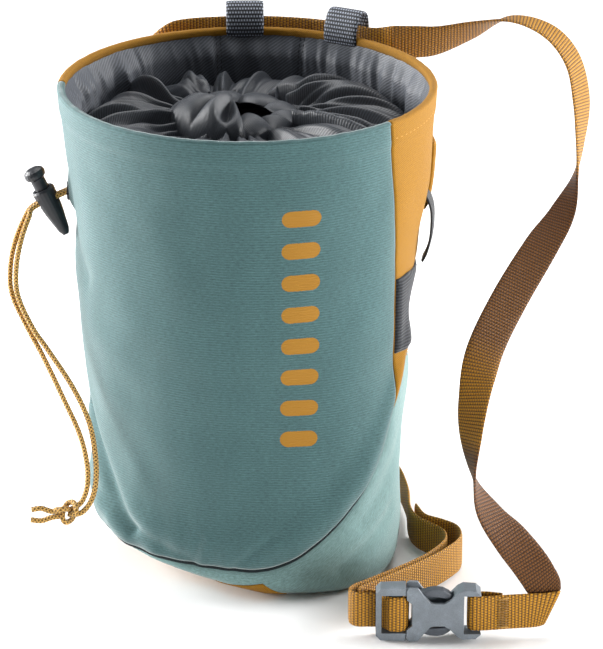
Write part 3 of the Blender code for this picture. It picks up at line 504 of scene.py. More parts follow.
def plastic(name, colour, gloss=0.38, grain=0.00005, wear_and_painted_shade=1.5):
    """Moulded plastic with a fine spark-eroded grain and paler rubbed patches."""
    mat, tree, shader = start_material(name, Specular_IOR_Level=0.5)
    place = object_point(tree)
    fine = noise_at(tree, place, 2600.0, 2.0, 0.6)
    patches = noise_at(tree, place, 160.0, 3.0, 0.6)
    share = ramp(tree, madd(tree, fine, 0.45, mul(tree, patches, 0.55)),
                 (0.35, dimmed(colour, 0.75)), (0.55, colour), (0.78, dimmed(colour, wear_and_painted_shade)))
    surface(tree, shader, share, patches, 0.25, gloss)
    bump(tree, shader, madd(tree, patches, 0.6, fine), grain, 0.7)
    return mat


def fuzzy(name, colour):
    """Fleece or foam: soft pile with small hollows."""
    mat, tree, shader = start_material(name, Sheen_Weight=0.6, Sheen_Roughness=0.6,
                                       Specular_IOR_Level=0.1)
    place = object_point(tree)
    pile = noise_at(tree, place, 900.0, 4.0, 0.7)
    clumps = noise_at(tree, place, 220.0, 2.0)
    tone = madd(tree, pile, 0.6, mul(tree, clumps, 0.4))
    cloth = three_tone(tree, tone, colour, 0.6, 1.2, (0.3, 0.55, 0.8))
    surface(tree, shader, cloth, pile, 0.1, 0.88)
    bump(tree, shader, tone, 0.0006, 0.9)
    return mat


def metal(name, colour):
    mat, tree, shader = start_material(name, Metallic=1.0)
    scratches = noise_at(tree, object_point(tree), 1800.0, 3.0, 0.7)
    tree.links.new(ramp(tree, scratches, (0.3, dimmed(colour, 0.8)), (0.7, colour)),
                   shader.inputs["Base Color"])
    tree.links.new(madd(tree, scratches, 0.25, 0.2, clamp=True), shader.inputs["Roughness"])
    bump(tree, shader, scratches, 0.00002, 0.5)
    return mat


TEAL = (0.061, 0.128, 0.131)
TEAL_WRAP = (0.195, 0.320, 0.311)
OCHRE = (0.345, 0.158, 0.006)
BELT = (0.42, 0.190, 0.006)
BELT_DARK = (0.060, 0.024, 0.004)

teal = rib_fabric("teal_melange", TEAL, bars=True)
# The wrap's cloth, with painted shade just below the wrap seam.
teal_plain = rib_fabric("teal_melange_plain", TEAL_WRAP, ribbed=0.25)
ochre = canvas("ochre_canvas", OCHRE, sheen=0.05)
belt_cloth = webbing("belt_weave", BELT, BELT_DARK)
# The belt's arch: its cloth has painted shade on the stretches that turn away from the light.
arch_cloth = webbing("belt_weave_painted_shade", BELT, BELT_DARK, wear_and_painted_shade=(
    (0.05, 0.5), (0.14, 0.6), (0.17, 0.0), (0.38, 0.0), (0.40, 1.0), (0.64, 0.9), (0.70, 0.1),
    (0.77, 0.1), (0.79, 1.0), (0.99, 1.0)))
loop_cloth = webbing("loop_weave", (0.060, 0.066, 0.080), (0.006, 0.007, 0.009), 0.0016, 0.0012, 7.0)
lining_cloth = twill("lining_satin_twill", (0.062, 0.070, 0.086), 0.47, 0.0013, 0.03)
collar_cloth = twill("collar_satin", (0.027, 0.032, 0.041), 0.35, 0.0011, 0.08)
band_cloth = elastic("band_elastic", (0.008, 0.010, 0.015), (0.032, 0.037, 0.046))
brush_cloth = elastic("brush_loop_weave", (0.012, 0.013, 0.016), (0.06, 0.065, 0.07))
cord_cloth = braid("cord_braid", (0.60, 0.345, 0.080), (0.17, 0.085, 0.020))
buckle_plastic = plastic("buckle_moulding", (0.165, 0.190, 0.215))
arm_plastic = plastic("arm_moulding", (0.070, 0.080, 0.095), 0.35)
lock_plastic = plastic("lock_moulding", (0.016, 0.018, 0.023), 0.28)
fleece = fuzzy("pouch_fleece_pile", (0.42, 0.42, 0.43))
foam = fuzzy("closed_foam", (0.30, 0.30, 0.31))
steel = metal("spring_wire", (0.62, 0.62, 0.64))
dark_metal = metal("eyelet_finish", (0.05, 0.052, 0.058))
ochre_thread = canvas("ochre_thread", (0.62, 0.33, 0.07), 0.0004)
dark_thread = canvas("dark_thread", (0.012, 0.014, 0.017), 0.0004)
belt_thread = canvas("belt_thread", (0.66, 0.36, 0.08), 0.0004)
# A near-black tape for the wrap seam: painted shade of the gap under the front panel's edge, over the seam's dark
# thread.
seam_shade_tape = canvas("seam_shade_tape", (0.008, 0.016, 0.018), 0.0006, 0.0)


# ---------------------------------------------------------------- shape of the bag

def smooth(value):
    share = min(1.0, max(0.0, value))
    return share * share * (3.0 - 2.0 * share)


def apart_from(angle, middle):
    """How many degrees an angle is past another one, from -180 to 180."""
    return (angle - middle + 180.0) % 360.0 - 180.0


def radial(turn):
    """The level direction out from the bag's axis, for a turn in radians."""
    return Vector((math.cos(turn), math.sin(turn), 0.0))


def corner_bump(angle):
    """The base is wider at the front right, where the bag slumps."""
    offset = apart_from(angle, 333.0)
    return 0.012 * math.exp(-((offset / 27.0) ** 2))


def waist(angle, height):
    """How far the elastic band draws the wall in, at the right-hand side."""
    offset = apart_from(angle, BAND_MIDDLE)
    around = smooth((37.0 - abs(offset)) / 30.0)
    drawn = 0.0024 * smooth((0.165 - height) / 0.03) * smooth((height - 0.010) / 0.03)
    return around * (drawn + 0.0072 * math.exp(-(((height - 0.106) / 0.0145) ** 2)))


def wall_radius(angle, height):
    base = BASE_RADIUS + corner_bump(angle)
    return base + (TOP_RADIUS - base) * height / HEIGHT - waist(angle, height)


def rim_rise(angle, height):
    """The rim stands a little higher at the back than in front."""
    back = 0.5 + 0.5 * math.cos(math.radians(angle - BACK_MIDDLE))
    return RIM_RISE * back ** 1.3 * smooth((height - 0.150) / 0.044)


def wrap_seam(angle):
    """Height of the seam over the lower wrap panel: low in front, sweeping up to the right."""
    angle = angle % 360.0
    if angle < 60.0:
        return 0.0925
    if angle < FRONT_START:
        share = (angle - 60.0) / 140.0
        return 0.0925 - 0.0705 * share * share * (3.0 - 2.0 * share)
    if angle < 291.0:
        return 0.013 + 0.009 * ((291.0 - angle) / 91.0) ** 2
    return 0.013 + 0.0795 * min(1.0, (angle - 291.0) / 61.0) ** 2


def front_end(level):
    """The angle where the front panel meets the back panel at the right, at a height."""
    return 339.0 + 77.0 * (HEIGHT - max(level, 0.135))


CREASES = (
    ((210.0, 0.066), (246.0, 0.024), 0.0040, 0.0022),
    ((222.0, 0.036), (268.0, 0.016), 0.0030, 0.0008),
    ((203.0, 0.150), (226.0, 0.128), 0.0060, 0.0010),
    ((352.0, 0.060), (330.0, 0.030), 0.0045, 0.0008),
    ((345.0, 0.032), (322.0, 0.012), 0.0035, 0.0009),
    ((300.0, 0.030), (286.0, 0.014), 0.0022, 0.0007),
    ((274.0, 0.027), (270.0, 0.014), 0.0018, 0.0006),
)


def crease(angle, level, start, end, width, depth):
    """A soft valley along a line on the wall, with a low ridge under it."""
    place = Vector((math.radians(angle) * 0.068, level))
    first = Vector((math.radians(start[0]) * 0.068, start[1]))
    last = Vector((math.radians(end[0]) * 0.068, end[1]))
    run = last - first
    share = (place - first).dot(run) / run.length_squared
    near = first + run * min(1.0, max(0.0, share))
    gap = (place - near).length
    fade = math.exp(-((max(0.0, -share, share - 1.0) * run.length / width) ** 2))
    below = math.exp(-(((gap - 2.2 * width) / (1.4 * width)) ** 2)) * (1.0 if place.y < near.y else 0.4)
    return fade * (below * 0.45 - math.exp(-((gap / width) ** 2))) * depth


def relief(angle, level):
    """How far the cloth stands off the plain wall: puffs, dents, creases and pinched seams."""
    turned = angle % 360.0
    turn = math.radians(angle)
    place = Vector((math.cos(turn) * 0.07, math.sin(turn) * 0.07, level))
    calm = smooth((0.194 - level) / 0.03) * smooth((level - 0.001) / 0.012)
    fine = noise.noise(place * 62.0 + Vector((3.1, 7.0, 0.0)))
    off = noise.noise(place * 24.0) * 0.0014 + fine * 0.00045
    off *= calm
    above = level - wrap_seam(angle)
    pucker = noise.noise(Vector((turn * 9.0, level * 30.0, 5.0)))
    if above >= 0.0:
        off += 0.0026 * math.exp(-(((above - 0.010) / 0.010) ** 2)) * calm
        off -= 0.0016 * math.exp(-above / 0.0011)
        off += pucker * 0.0009 * math.exp(-above / 0.014)
    else:
        off -= 0.0022 * math.exp(above / 0.0034) * smooth(level / 0.006)
        off += pucker * 0.0006 * math.exp(above / 0.010) * smooth(level / 0.008)
    for edge in (FRONT_START, front_end(level)):
        apart = abs(apart_from(turned, edge)) * 0.00122
        off -= 0.0007 * math.exp(-apart / 0.0016) * smooth((above + 0.002) / 0.004)
    if 195.0 < turned < 360.0:
        for item in CREASES:
            off += crease(turned, level, *item) * calm
    dent = ((turned - 205.0) / 17.0) ** 2 + ((level - 0.150) / 0.016) ** 2
    off -= 0.0020 * math.exp(-dent)
    off += 0.0012 * smooth((0.100 - level) / 0.08) * math.exp(-(((turned - 232.0) / 22.0) ** 2))
    exit_gap = (place - LAY @ EXIT_AT).length
    return off * smooth((exit_gap - 0.004) / 0.008) - 0.0002


def base_lift(angle, radius, level):
    """The soft base curls up off the floor at the front left, below the wrap seam."""
    turned = angle % 360.0
    seam = wrap_seam(angle)
    if not LIFT_START < turned < LIFT_END or level > seam:
        return 0.0
    lift = LIFT_HEIGHT * smooth((turned - LIFT_START) / 60.0) * min(1.0, (LIFT_END - turned) / 60.0)
    return lift * smooth(radius / BASE_RADIUS) * (1.0 - level / seam)


def wall_at(angle, level, inset=0.0):
    """A point on the plain wall, rounded in at its foot."""
    turn = math.radians(angle)
    if level >= CORNER_ROUND:
        radius = wall_radius(angle, level) - inset
        height = level
    else:
        curl = (CORNER_ROUND - level) / CORNER_ROUND * math.pi / 2
        radius = wall_radius(angle, CORNER_ROUND) - CORNER_ROUND + (CORNER_ROUND - inset) * math.cos(curl)
        height = CORNER_ROUND - (CORNER_ROUND - inset) * math.sin(curl)
    height = max(height, 0.0002)
    height += base_lift(angle, radius, height) + rim_rise(angle, height)
    return Vector((radius * math.cos(turn), radius * math.sin(turn), height))


def shell_at(angle, level, proud=0.0):
    """A point on the cloth's outer face, relief and all."""
    return wall_at(angle, level, -proud - relief(angle, level))


# ---------------------------------------------------------------- mesh helpers

def grid_piece(name, columns, mat, closed=False, skip=None):
    """A cloth surface from columns of (place, u, v), with the weave's distances as its UV."""
    rows = len(columns[0])
    count = len(columns)
    mesh = bpy.data.meshes.new(name)
    verts = [place for column in columns for place, _, _ in column]
    faces = []
    uvs = []
    for i in range(count if closed else count - 1):
        j = (i + 1) % count
        for k in range(rows - 1):
            face = (i * rows + k, j * rows + k, j * rows + k + 1, i * rows + k + 1)
            if skip and skip(sum((verts[n] for n in face), Vector()) / 4):
                continue
            faces.append(face)
            right = columns[j] if j > i else [(p, u + (columns[-1][0][1] - columns[-2][0][1]) * count, v)
                                              for p, u, v in columns[0]]
            uvs += [columns[i][k][1:], right[k][1:], right[k + 1][1:], columns[i][k + 1][1:]]
    mesh.from_pydata(verts, [], faces)
    layer = mesh.uv_layers.new(name="weave")
    for loop, pair in zip(layer.data, uvs):
        loop.uv = pair
    for polygon in mesh.polygons:
        polygon.use_smooth = True
    obj = new_object(name, mesh)
    mesh.materials.append(mat)
    return obj


def new_object(name, data):
    obj = bpy.data.objects.new(name, data)
    bpy.context.collection.objects.link(obj)
    return obj


def stand_in(piece, slot, *nodes):
    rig.replaces(piece, *nodes)
    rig.slot(piece, slot)
    return piece


def thicken(obj, thickness, offset=-1.0):
    modifier = obj.modifiers.new("Thickness", "SOLIDIFY")
    modifier.thickness = thickness
    modifier.offset = offset
    return obj


def spline(values, samples):
    """A smooth line through the values, with samples points from each to the next."""
    ends = [2 * values[0] - values[1]] + list(values) + [2 * values[-1] - values[-2]]
    curve = []
    for i in range(1, len(ends) - 2):
        a, b, c, d = ends[i - 1:i + 3]
        for step in range(samples):
            t = step / samples
            curve.append(0.5 * (2 * b + (c - a) * t + (2 * a - 5 * b + 4 * c - d) * t * t
                                + (3 * b - a - 3 * c + d) * t ** 3))
    curve.append(Vector(values[-1]))
    return curve


def sweep(name, centres, sides, section, mat):
    """Carries a closed section along the centres. Each section point is (aside, out, v)."""
    columns = []
    reach = 0.0
    for i, centre in enumerate(centres):
        ahead = centres[min(i + 1, len(centres) - 1)] - centres[max(i - 1, 0)]
        side = sides[i]
        face = ahead.cross(side).normalized()
        if i:
            reach += (centre - centres[i - 1]).length
        column = [(centre + side * aside + face * out, reach, v) for aside, out, v in section]
        columns.append(column + [(column[0][0], reach, section[-1][2] + 0.0002)])
    obj = grid_piece(name, columns, mat)
    bm = bmesh.new()
    bm.from_mesh(obj.data)
    bmesh.ops.remove_doubles(bm, verts=bm.verts, dist=1e-6)
    open_edges = [edge for edge in bm.edges if edge.is_boundary]
    bmesh.ops.holes_fill(bm, edges=open_edges, sides=0)
    bmesh.ops.recalc_face_normals(bm, faces=bm.faces)
    bm.to_mesh(obj.data)
    bm.free()
    return obj


def flat_section(width, thickness, columns=10):
    """A strap's section: flat faces and round edges."""
    half, thick = width / 2, thickness / 2
    shares = [math.cos(math.pi * i / columns) for i in range(columns + 1)]
    upper = [(half * s, thick * (1.0 - abs(s) ** 9) ** 0.5 * 0.98 + 0.00001, half * s) for s in shares]
    lower = [(half * s, -thick * (1.0 - abs(s) ** 9) ** 0.5 * 0.98 - 0.00001, half * s)
             for s in reversed(shares)]
    return upper + lower


def round_section(radius, columns=12):
    turns = [math.tau * i / columns for i in range(columns)]
    return [(radius * math.cos(t), radius * math.sin(t), t * radius) for t in turns]


def carried_sides(centres, start):
    """A side direction that turns no more than the line does."""
    side = start
    found = []
    for i in range(len(centres)):
        ahead = (centres[min(i + 1, len(centres) - 1)] - centres[max(i - 1, 0)]).normalized()
        side = (side - ahead * side.dot(ahead)).normalized()
        found.append(side)
    return found


def in_lay(points):
    return [LAY @ (Vector(point) * MM) for point in points]


def strap(name, route, mat, samples, width=BELT_WIDTH, thickness=BELT_THICKNESS):
    """A flat strap along a route of (centre, direction across the strap), in millimetres."""
    centres = spline([LAY @ (Vector(centre) * MM) for centre, _ in route], samples)
    sides = spline([LAY.to_3x3() @ Vector(across) for _, across in route], samples)
    sides = [side.normalized() if side.length < 1.02 else side for side in sides]
    return sweep(name, centres, sides, flat_section(width, thickness), mat), centres


def cord_piece(name, centres, mat, radius=CORD_RADIUS):
    start = Vector((0.31, 0.22, 0.93))
    return sweep(name, centres, carried_sides(centres, start), round_section(radius), mat)


def stitches(name, path, outward, mat, pitch=0.0030, length=0.0020, radius=0.00022):
    """A row of thread stitches along a path. Both are functions of the distance along it."""
    total, place = path
    mesh_verts = []
    faces = []
    count = int(total / pitch)
    for i in range(count):
        middle = (i + 0.5) * total / count
        first, last = place(middle - length / 2), place(middle + length / 2)
        out = outward(middle)
        run = last - first
        if run.length < 1e-6:
            continue
        side = run.cross(out).normalized()
        base = len(mesh_verts)
        steps = 4
        for k in range(steps + 1):
            share = k / steps
            lift = math.sin(math.pi * share) ** 0.5 if 0 < k < steps else 0.0
            ringed = radius * (0.55 + 0.45 * lift)
            centre = first + run * share + out * (radius * 1.3 * lift - radius * 0.7)
            for m in range(6):
                turn = math.tau * m / 6
                mesh_verts.append(centre + side * ringed * math.cos(turn) + out * ringed * math.sin(turn))
        for k in range(steps):
            for m in range(6):
                n = (m + 1) % 6
                low = base + k * 6
                faces.append((low + m, low + n, low + 6 + n, low + 6 + m))
        faces.append(tuple(base + m for m in range(6)))
        faces.append(tuple(base + steps * 6 + m for m in reversed(range(6))))
    mesh = bpy.data.meshes.new(name)
    mesh.from_pydata(mesh_verts, [], faces)
    layer = mesh.uv_layers.new(name="weave")
    for polygon in mesh.polygons:
        polygon.use_smooth = True
        for loop in polygon.loop_indices:
            point = mesh_verts[mesh.loops[loop].vertex_index]
            layer.data[loop].uv = (point.x + point.y, point.z)
    obj = new_object(name, mesh)
    mesh.materials.append(mat)
    return obj


def wall_stitches(name, start, end, level, mat, proud=0.0002, **looks):
    """Stitches along the wall from one angle to another; level is a function of the angle."""
    arc = math.radians(end - start) * 0.074

    def angle(reach):
        return start + (end - start) * reach / arc

    def place(reach):
        return shell_at(angle(reach), level(angle(reach)), proud)

    def outward(reach):
        turn = math.radians(angle(reach))
        return radial(turn)

    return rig.ride(stitches(name, (abs(arc), place), outward, mat, **looks), "bag")


# ---------------------------------------------------------------- camera, belt and cords

def add_camera():
    data = bpy.data.cameras.new("view")
    data.lens = 192.9
    data.sensor_width = 36.0
    camera = new_object("view", data)
    camera.location = LAY @ Vector((0.022, -1.358, 0.604))
    camera.rotation_euler = (math.radians(69.5), 0.0, math.radians(LAY_TURN))
    bpy.context.scene.camera = camera


def belt_circle(angle):
    turn = math.radians(angle)
    return (80.8 * math.cos(turn), 80.8 * math.sin(turn), 199.5)


UP = (0.0, 0.0, 1.0)


def level_run(across, *points):
    """Route points that all have one direction across the strap."""
    return tuple((point, across) for point in points)



ARCH_ROUTE = (
    ((60.2, 57.2, 201.8), (0.0, -0.06, 1.0)),
    ((70.0, 56.8, 202.2), (0.0, -0.18, 0.98)),
    ((80.0, 58.0, 202.6), (0.0, -0.36, 0.93)),
    ((95.0, 61.0, 206.4), (-0.06, -0.74, 0.68)),
    ((110.5, 62.0, 210.8), (-0.06, -0.99, 0.12)),
    ((126.0, 58.0, 206.6), (-0.28, -0.96, -0.08)),
    ((135.8, 50.0, 196.5), (-0.42, -0.90, -0.10)),
    ((139.3, 40.0, 181.8), (-0.52, -0.85, 0.10)),
    ((138.4, 28.0, 168.0), (-0.30, -0.92, 0.22)),
    ((136.0, 17.0, 156.6), (0.02, -0.95, 0.30)),
    ((129.8, 4.0, 144.4), (0.62, -0.78, 0.06)),
    ((120.6, -8.5, 134.0), (0.84, -0.50, -0.22)),
    ((106.8, -27.0, 117.4), (0.90, -0.24, -0.36)),
    ((96.4, -44.0, 102.2), (0.92, -0.20, -0.32)),
    ((91.8, -58.0, 88.6), (0.84, -0.48, 0.20)),
    ((89.6, -71.0, 75.6), (0.56, -0.80, 0.18)),
    ((90.6, -83.0, 62.4), (0.0, -0.96, 0.28)),
    ((96.2, -91.0, 51.4), (-0.62, -0.74, 0.06)),
    ((105.0, -95.2, 41.0), (-0.78, -0.48, -0.40)),
    ((113.4, -96.4, 30.0), (-0.83, -0.12, -0.54)),
    ((119.6, -96.8, 19.4), (-0.66, 0.0, -0.80)),
    ((122.2, -97.0, 13.0), (-0.43, 0.0, -1.00)),
)

END_ROUTE = (
    *level_run((0.0, 0.0, -1.0),
        (102.0, -98.7, 11.6), (97.0, -97.5, 11.6), (93.0, -97.2, 11.6), (90.0, -97.4, 11.6),
        (88.6, -99.6, 11.6), (90.0, -101.8, 11.6), (93.0, -102.0, 11.6), (97.0, -101.6, 11.6),
        (102.6, -100.6, 11.6), (110.0, -99.6, 11.6)),
    ((117.0, -99.2, 11.8), (-0.16, 0.0, -1.0)),
    ((122.0, -98.8, 12.6), (-0.42, 0.0, -0.99)),
)

FLOOR_ROUTE = (
    ((-34.5, 74.6, 197.6), (-0.12, 0.03, 0.99)),
    ((-40.2, 75.2, 190.5), (-0.50, 0.15, 0.85)),
    ((-44.0, 77.0, 180.0), (-0.80, 0.30, 0.52)),
    ((-46.4, 80.0, 163.0), (-0.88, 0.46, 0.12)),
    ((-46.4, 84.5, 137.0), (-0.78, 0.62, 0.0)),
    ((-41.0, 90.5, 100.0), (-0.58, 0.81, 0.0)),
    ((-31.0, 96.0, 66.0), (-0.46, 0.86, 0.18)),
    ((-19.0, 99.6, 39.0), (-0.35, 0.62, 0.70)),
    ((-2.0, 100.0, 17.5), (-0.20, 0.20, 0.95)),
    *level_run(UP,
        (22.0, 92.0, 8.2), (46.0, 74.0, 8.2), (62.0, 48.0, 8.2), (67.4, 20.0, 8.2), (67.9, -2.0, 8.2),
        (70.6, -13.6, 8.2), (75.8, -20.6, 8.2), (81.2, -28.0, 8.2), (81.6, -37.4, 8.2),
        (76.4, -48.6, 8.4), (69.8, -58.2, 8.8), (58.3, -72.0, 9.8), (47.8, -84.0, 10.8),
        (42.6, -90.2, 11.4), (41.4, -94.8, 11.6), (43.8, -98.0, 11.6), (49.0, -98.4, 11.6),
        (53.6, -98.8, 11.6), (55.8, -100.8, 11.6), (57.2, -102.6, 11.6), (59.8, -103.2, 11.6),
        (62.4, -102.6, 11.6), (63.9, -100.8, 11.6), (64.2, -98.4, 11.6)),
)

TAIL_ROUTE = level_run(
    UP,
    (62.6, -96.2, 11.6), (57.0, -95.8, 11.6), (49.6, -95.8, 11.6), (45.8, -94.6, 11.6),
    (45.6, -91.6, 11.4), (50.4, -85.8, 10.8), (60.4, -74.0, 9.8), (72.4, -59.6, 8.8),
    (82.0, -47.0, 8.4), (88.0, -35.0, 8.2), (87.2, -24.0, 8.2), (81.0, -17.4, 8.2), (74.2, -12.0, 8.2),
    (70.6, -1.0, 8.2))

STRAND_LEFT = (
    (-91.5, -7.0, 145.6), (-95.6, -10.5, 136.0), (-97.6, -12.5, 125.0), (-96.9, -14.5, 114.6),
    (-90.6, -20.0, 102.4), (-83.6, -27.0, 91.6), (-75.6, -36.0, 77.8), (-68.6, -44.0, 65.0),
    (-65.6, -49.0, 54.4), (-65.4, -52.0, 45.6), (-67.4, -53.6, 39.6), (-70.4, -54.8, 37.2),
    (-73.0, -55.6, 36.2),
)
STRAND_RIGHT = (
    (-89.6, -9.0, 146.6), (-93.0, -13.0, 137.0), (-95.0, -15.5, 125.4), (-94.2, -17.5, 114.8),
    (-88.2, -22.5, 103.0), (-81.6, -27.5, 95.0), (-71.6, -35.0, 82.0), (-65.0, -42.0, 70.2),
    (-62.2, -48.0, 58.2), (-61.8, -52.0, 48.0), (-63.6, -54.5, 40.4), (-67.0, -55.8, 35.8),
    (-70.6, -56.4, 34.6), (-73.4, -56.4, 34.9),
)
KNOT_CENTRE = Vector((-0.0737, -0.0560, 0.0356))
KNOT_SCALE = 1.4


def path_length(points):
    return sum((b - a).length for a, b in zip(points, points[1:]))


def belt_piece(name, route, samples, node_name, mat=belt_cloth):
    piece, centres = strap(name, route, mat, samples)
    stand_in(piece, "belt_webbing", node_name)
    return piece, centres


def declare_belt(piece, centres, **facts):
    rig.cord(piece, exit=centres[0], length=path_length(centres), diameter=BELT_WIDTH, path=centres,
            stiffness="limp", lay="loose", **facts)


def add_belt():
    rim = [((61.4, 57.1, 201.9), (0.0, -0.05, 1.0))] + [(belt_circle(a), UP) for a in range(50, 111, 10)]
    waist, line = belt_piece("belt_waist", rim + list(FLOOR_ROUTE), 5, "waist_belt")
    declare_belt(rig.ride(waist, "bag"), line, far_end="object")
    tail, line = belt_piece("belt_free_tail", TAIL_ROUTE, 6, "belt_tail")
    declare_belt(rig.ride(tail, "bag"), line, far_end="bare")
    end, _ = belt_piece("belt_end_loop", END_ROUTE, 6, "belt_sewn_end")
    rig.ride(end, "receiver")
    arch, line = belt_piece("belt_long_arch", ARCH_ROUTE, 10, "belt_arch", arch_cloth)
    declare_belt(arch, line, far_end="object", with_pieces=[end])
    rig.blend(arch, "bag", "receiver", start=LAY @ Vector((0.1384, 0.0280, 0.1680)),
             end=LAY @ Vector((0.1196, -0.0968, 0.0194)))


def strand_path(side, route):
    across = Vector((0, 0, 1)).cross(EXIT_DIRECTION).normalized() * CORD_SPREAD * side
    straight = [EXIT_AT + EXIT_DIRECTION * reach + across for reach in (-0.030, -0.012, 0.0, 0.0150)]
    return [LAY @ point for point in spline(straight + [Vector(p) * MM for p in route], 8)]


def knot_path():
    """An overhand knot in the doubled cord, as one line round the lump."""
    points = []
    for i in range(97):
        t = math.tau * i / 96 * 0.93 + 0.2
        x = math.sin(t) + 2.0 * math.sin(2.0 * t)
        y = math.cos(t) - 2.0 * math.cos(2.0 * t)
        z = -math.sin(3.0 * t)
        points.append(Vector((x * 0.00118, z * 0.00165, y * 0.00098)) * KNOT_SCALE)
    turn = Matrix.Rotation(math.radians(-18.0), 3, "Y")
    return [LAY @ (KNOT_CENTRE + turn @ point) for point in points]


def add_cords():
    tips = []
    for name, node_name, route in (
            ("cord_end_upper", "cord_tip_upper", ((-75.5, -56.6, 36.4), (-80.0, -56.4, 36.0),
                                                  (-84.0, -57.0, 37.6), (-88.0, -57.4, 37.2))),
            ("cord_end_lower", "cord_tip_lower", ((-75.5, -57.0, 34.2), (-80.0, -56.6, 33.4),
                                                  (-84.0, -57.2, 32.2), (-88.4, -57.6, 32.8)))):
        tip = cord_piece(name, spline(in_lay(route), 5), cord_cloth)
        stand_in(tip, "drawcord_braid", node_name)
        tips.append(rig.ride(tip, "drawcord"))
    knot = cord_piece("cord_overhand_knot", knot_path(), cord_cloth)
    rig.ride(stand_in(knot, "drawcord_braid", "cord_knot"), "drawcord")
    for name, side, route, pieces in (("drawcord_left", -1, STRAND_LEFT, [knot, *tips]),
                                      ("drawcord_right", 1, STRAND_RIGHT, [])):
        path = strand_path(side, route)
        strand = cord_piece(name, path, cord_cloth)
        stand_in(strand, "drawcord_braid", name.replace("drawcord", "drawcord_strand"))
        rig.cord(strand, exit=path[0], length=path_length(path), diameter=2 * CORD_RADIUS, path=path,
                far_end="knot", stiffness="limp", lay="hanging", with_pieces=pieces)
        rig.ride(strand, "drawcord")


# ---------------------------------------------------------------- the stage

def area_light(name, place, target, size, power):
    data = bpy.data.lights.new(name, "AREA")
    data.shape = "RECTANGLE"
    data.size, data.size_y = size
    data.energy = power
    light = new_object(name, data)
    light.location = LAY @ Vector(place)
    aim = LAY @ Vector(target) - light.location
    light.rotation_euler = aim.to_track_quat("-Z", "Y").to_euler()


def add_stage():
    size = 3.0
    mesh = bpy.data.meshes.new("floor")
    mesh.from_pydata([(-size, -size, 0), (size, -size, 0), (size, size, 0), (-size, size, 0)], [],
                     [(0, 1, 2, 3)])
    floor = new_object("floor", mesh)
    paper, tree, shader = start_material("pale_paper", Roughness=0.9, Specular_IOR_Level=0.1)
    tone = noise_at(tree, object_point(tree), 3.0)
    tree.links.new(ramp(tree, tone, (0.3, (0.90, 0.90, 0.90)), (0.7, (0.94, 0.94, 0.94))),
                   shader.inputs["Base Color"])
    mesh.materials.append(paper)
    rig.stage(floor)
    world = bpy.data.worlds.new("soft_studio")
    world.use_nodes = True
    world.node_tree.nodes["Background"].inputs["Color"].default_value = (1.0, 1.0, 1.0, 1.0)
    world.node_tree.nodes["Background"].inputs["Strength"].default_value = 0.16
    bpy.context.scene.world = world
    bpy.context.scene.view_settings.view_transform = "Standard"
    area_light("left_softbox", (-1.10, 0.34, 0.36), (0.0, 0.0, 0.09), (0.7, 0.6), 42.0)
    area_light("right_softbox", (1.15, 0.30, 0.42), (0.0, 0.0, 0.09), (0.7, 0.6), 24.0)
    area_light("low_front_softbox", (0.55, -0.66, 0.07), (0.03, 0.0, 0.05), (0.35, 0.25), 5.5)
    area_light("top_softbox", (0.05, 0.45, 1.40), (0.0, 0.0, 0.10), (1.2, 1.0), 17.0)


# ---------------------------------------------------------------- bag panels

def crown_profile():
    """From the outer wall over the rim and down inside it, as (radius past the outer wall, level)."""
    width = TOP_RADIUS + 0.0004 - RIM_INNER
    points = []
    for i in range(13):
        turn = math.pi * i / 12
        rise = CROWN_RISE * math.sin(turn) ** 0.8
        points.append((-width / 2 + width / 2 * math.cos(turn), CROWN_START + rise))
    points += [(-width + 0.0001, CROWN_START - 0.0008), (-width + 0.0003, CROWN_START - 0.0018)]
    return points


def panel_columns(start, end, count, rows, low_edge):
    columns = []
    for i in range(count + 1):
        share = i / count
        level = 0.1
        for _ in range(6):
            level = low_edge(start(level) + (end(level) - start(level)) * share)
        column = []
        for k in range(rows + 1):
            height = level + (CROWN_START - level) * k / rows
            angle = start(height) + (end(height) - start(height)) * share
            hem = 0.0004 * smooth((height - 0.188) / 0.003)
            column.append((shell_at(angle, height, hem), math.radians(angle) * PANEL_ARC, height))
        angle = start(HEIGHT) + (end(HEIGHT) - start(HEIGHT)) * share
        turn = math.radians(angle)
        reach = CROWN_START
        edge = column[-1][0].to_2d().length
        before = Vector((edge, CROWN_START))
        ripple = 0.00025 * noise.noise(Vector((turn * 14.0, 0.0, 2.0)))
        for past, height in crown_profile()[1:]:
            place = Vector((TOP_RADIUS + 0.0002 + past, height + ripple))
            reach += (place - before).length
            before = place
            column.append((Vector((place.x * math.cos(turn), place.x * math.sin(turn),
                                   place.y + rim_rise(angle, HEIGHT))), turn * PANEL_ARC, reach))
        columns.append(column)
    return columns


def near_exit(place):
    """Whether a place is in the hole that the drawcord comes out of."""
    line = LAY.to_3x3() @ Vector((EXIT_AT.x, EXIT_AT.y, 0.0)).normalized()
    gap = place - LAY @ EXIT_AT
    return (gap - line * gap.dot(line)).length < EXIT_HOLE


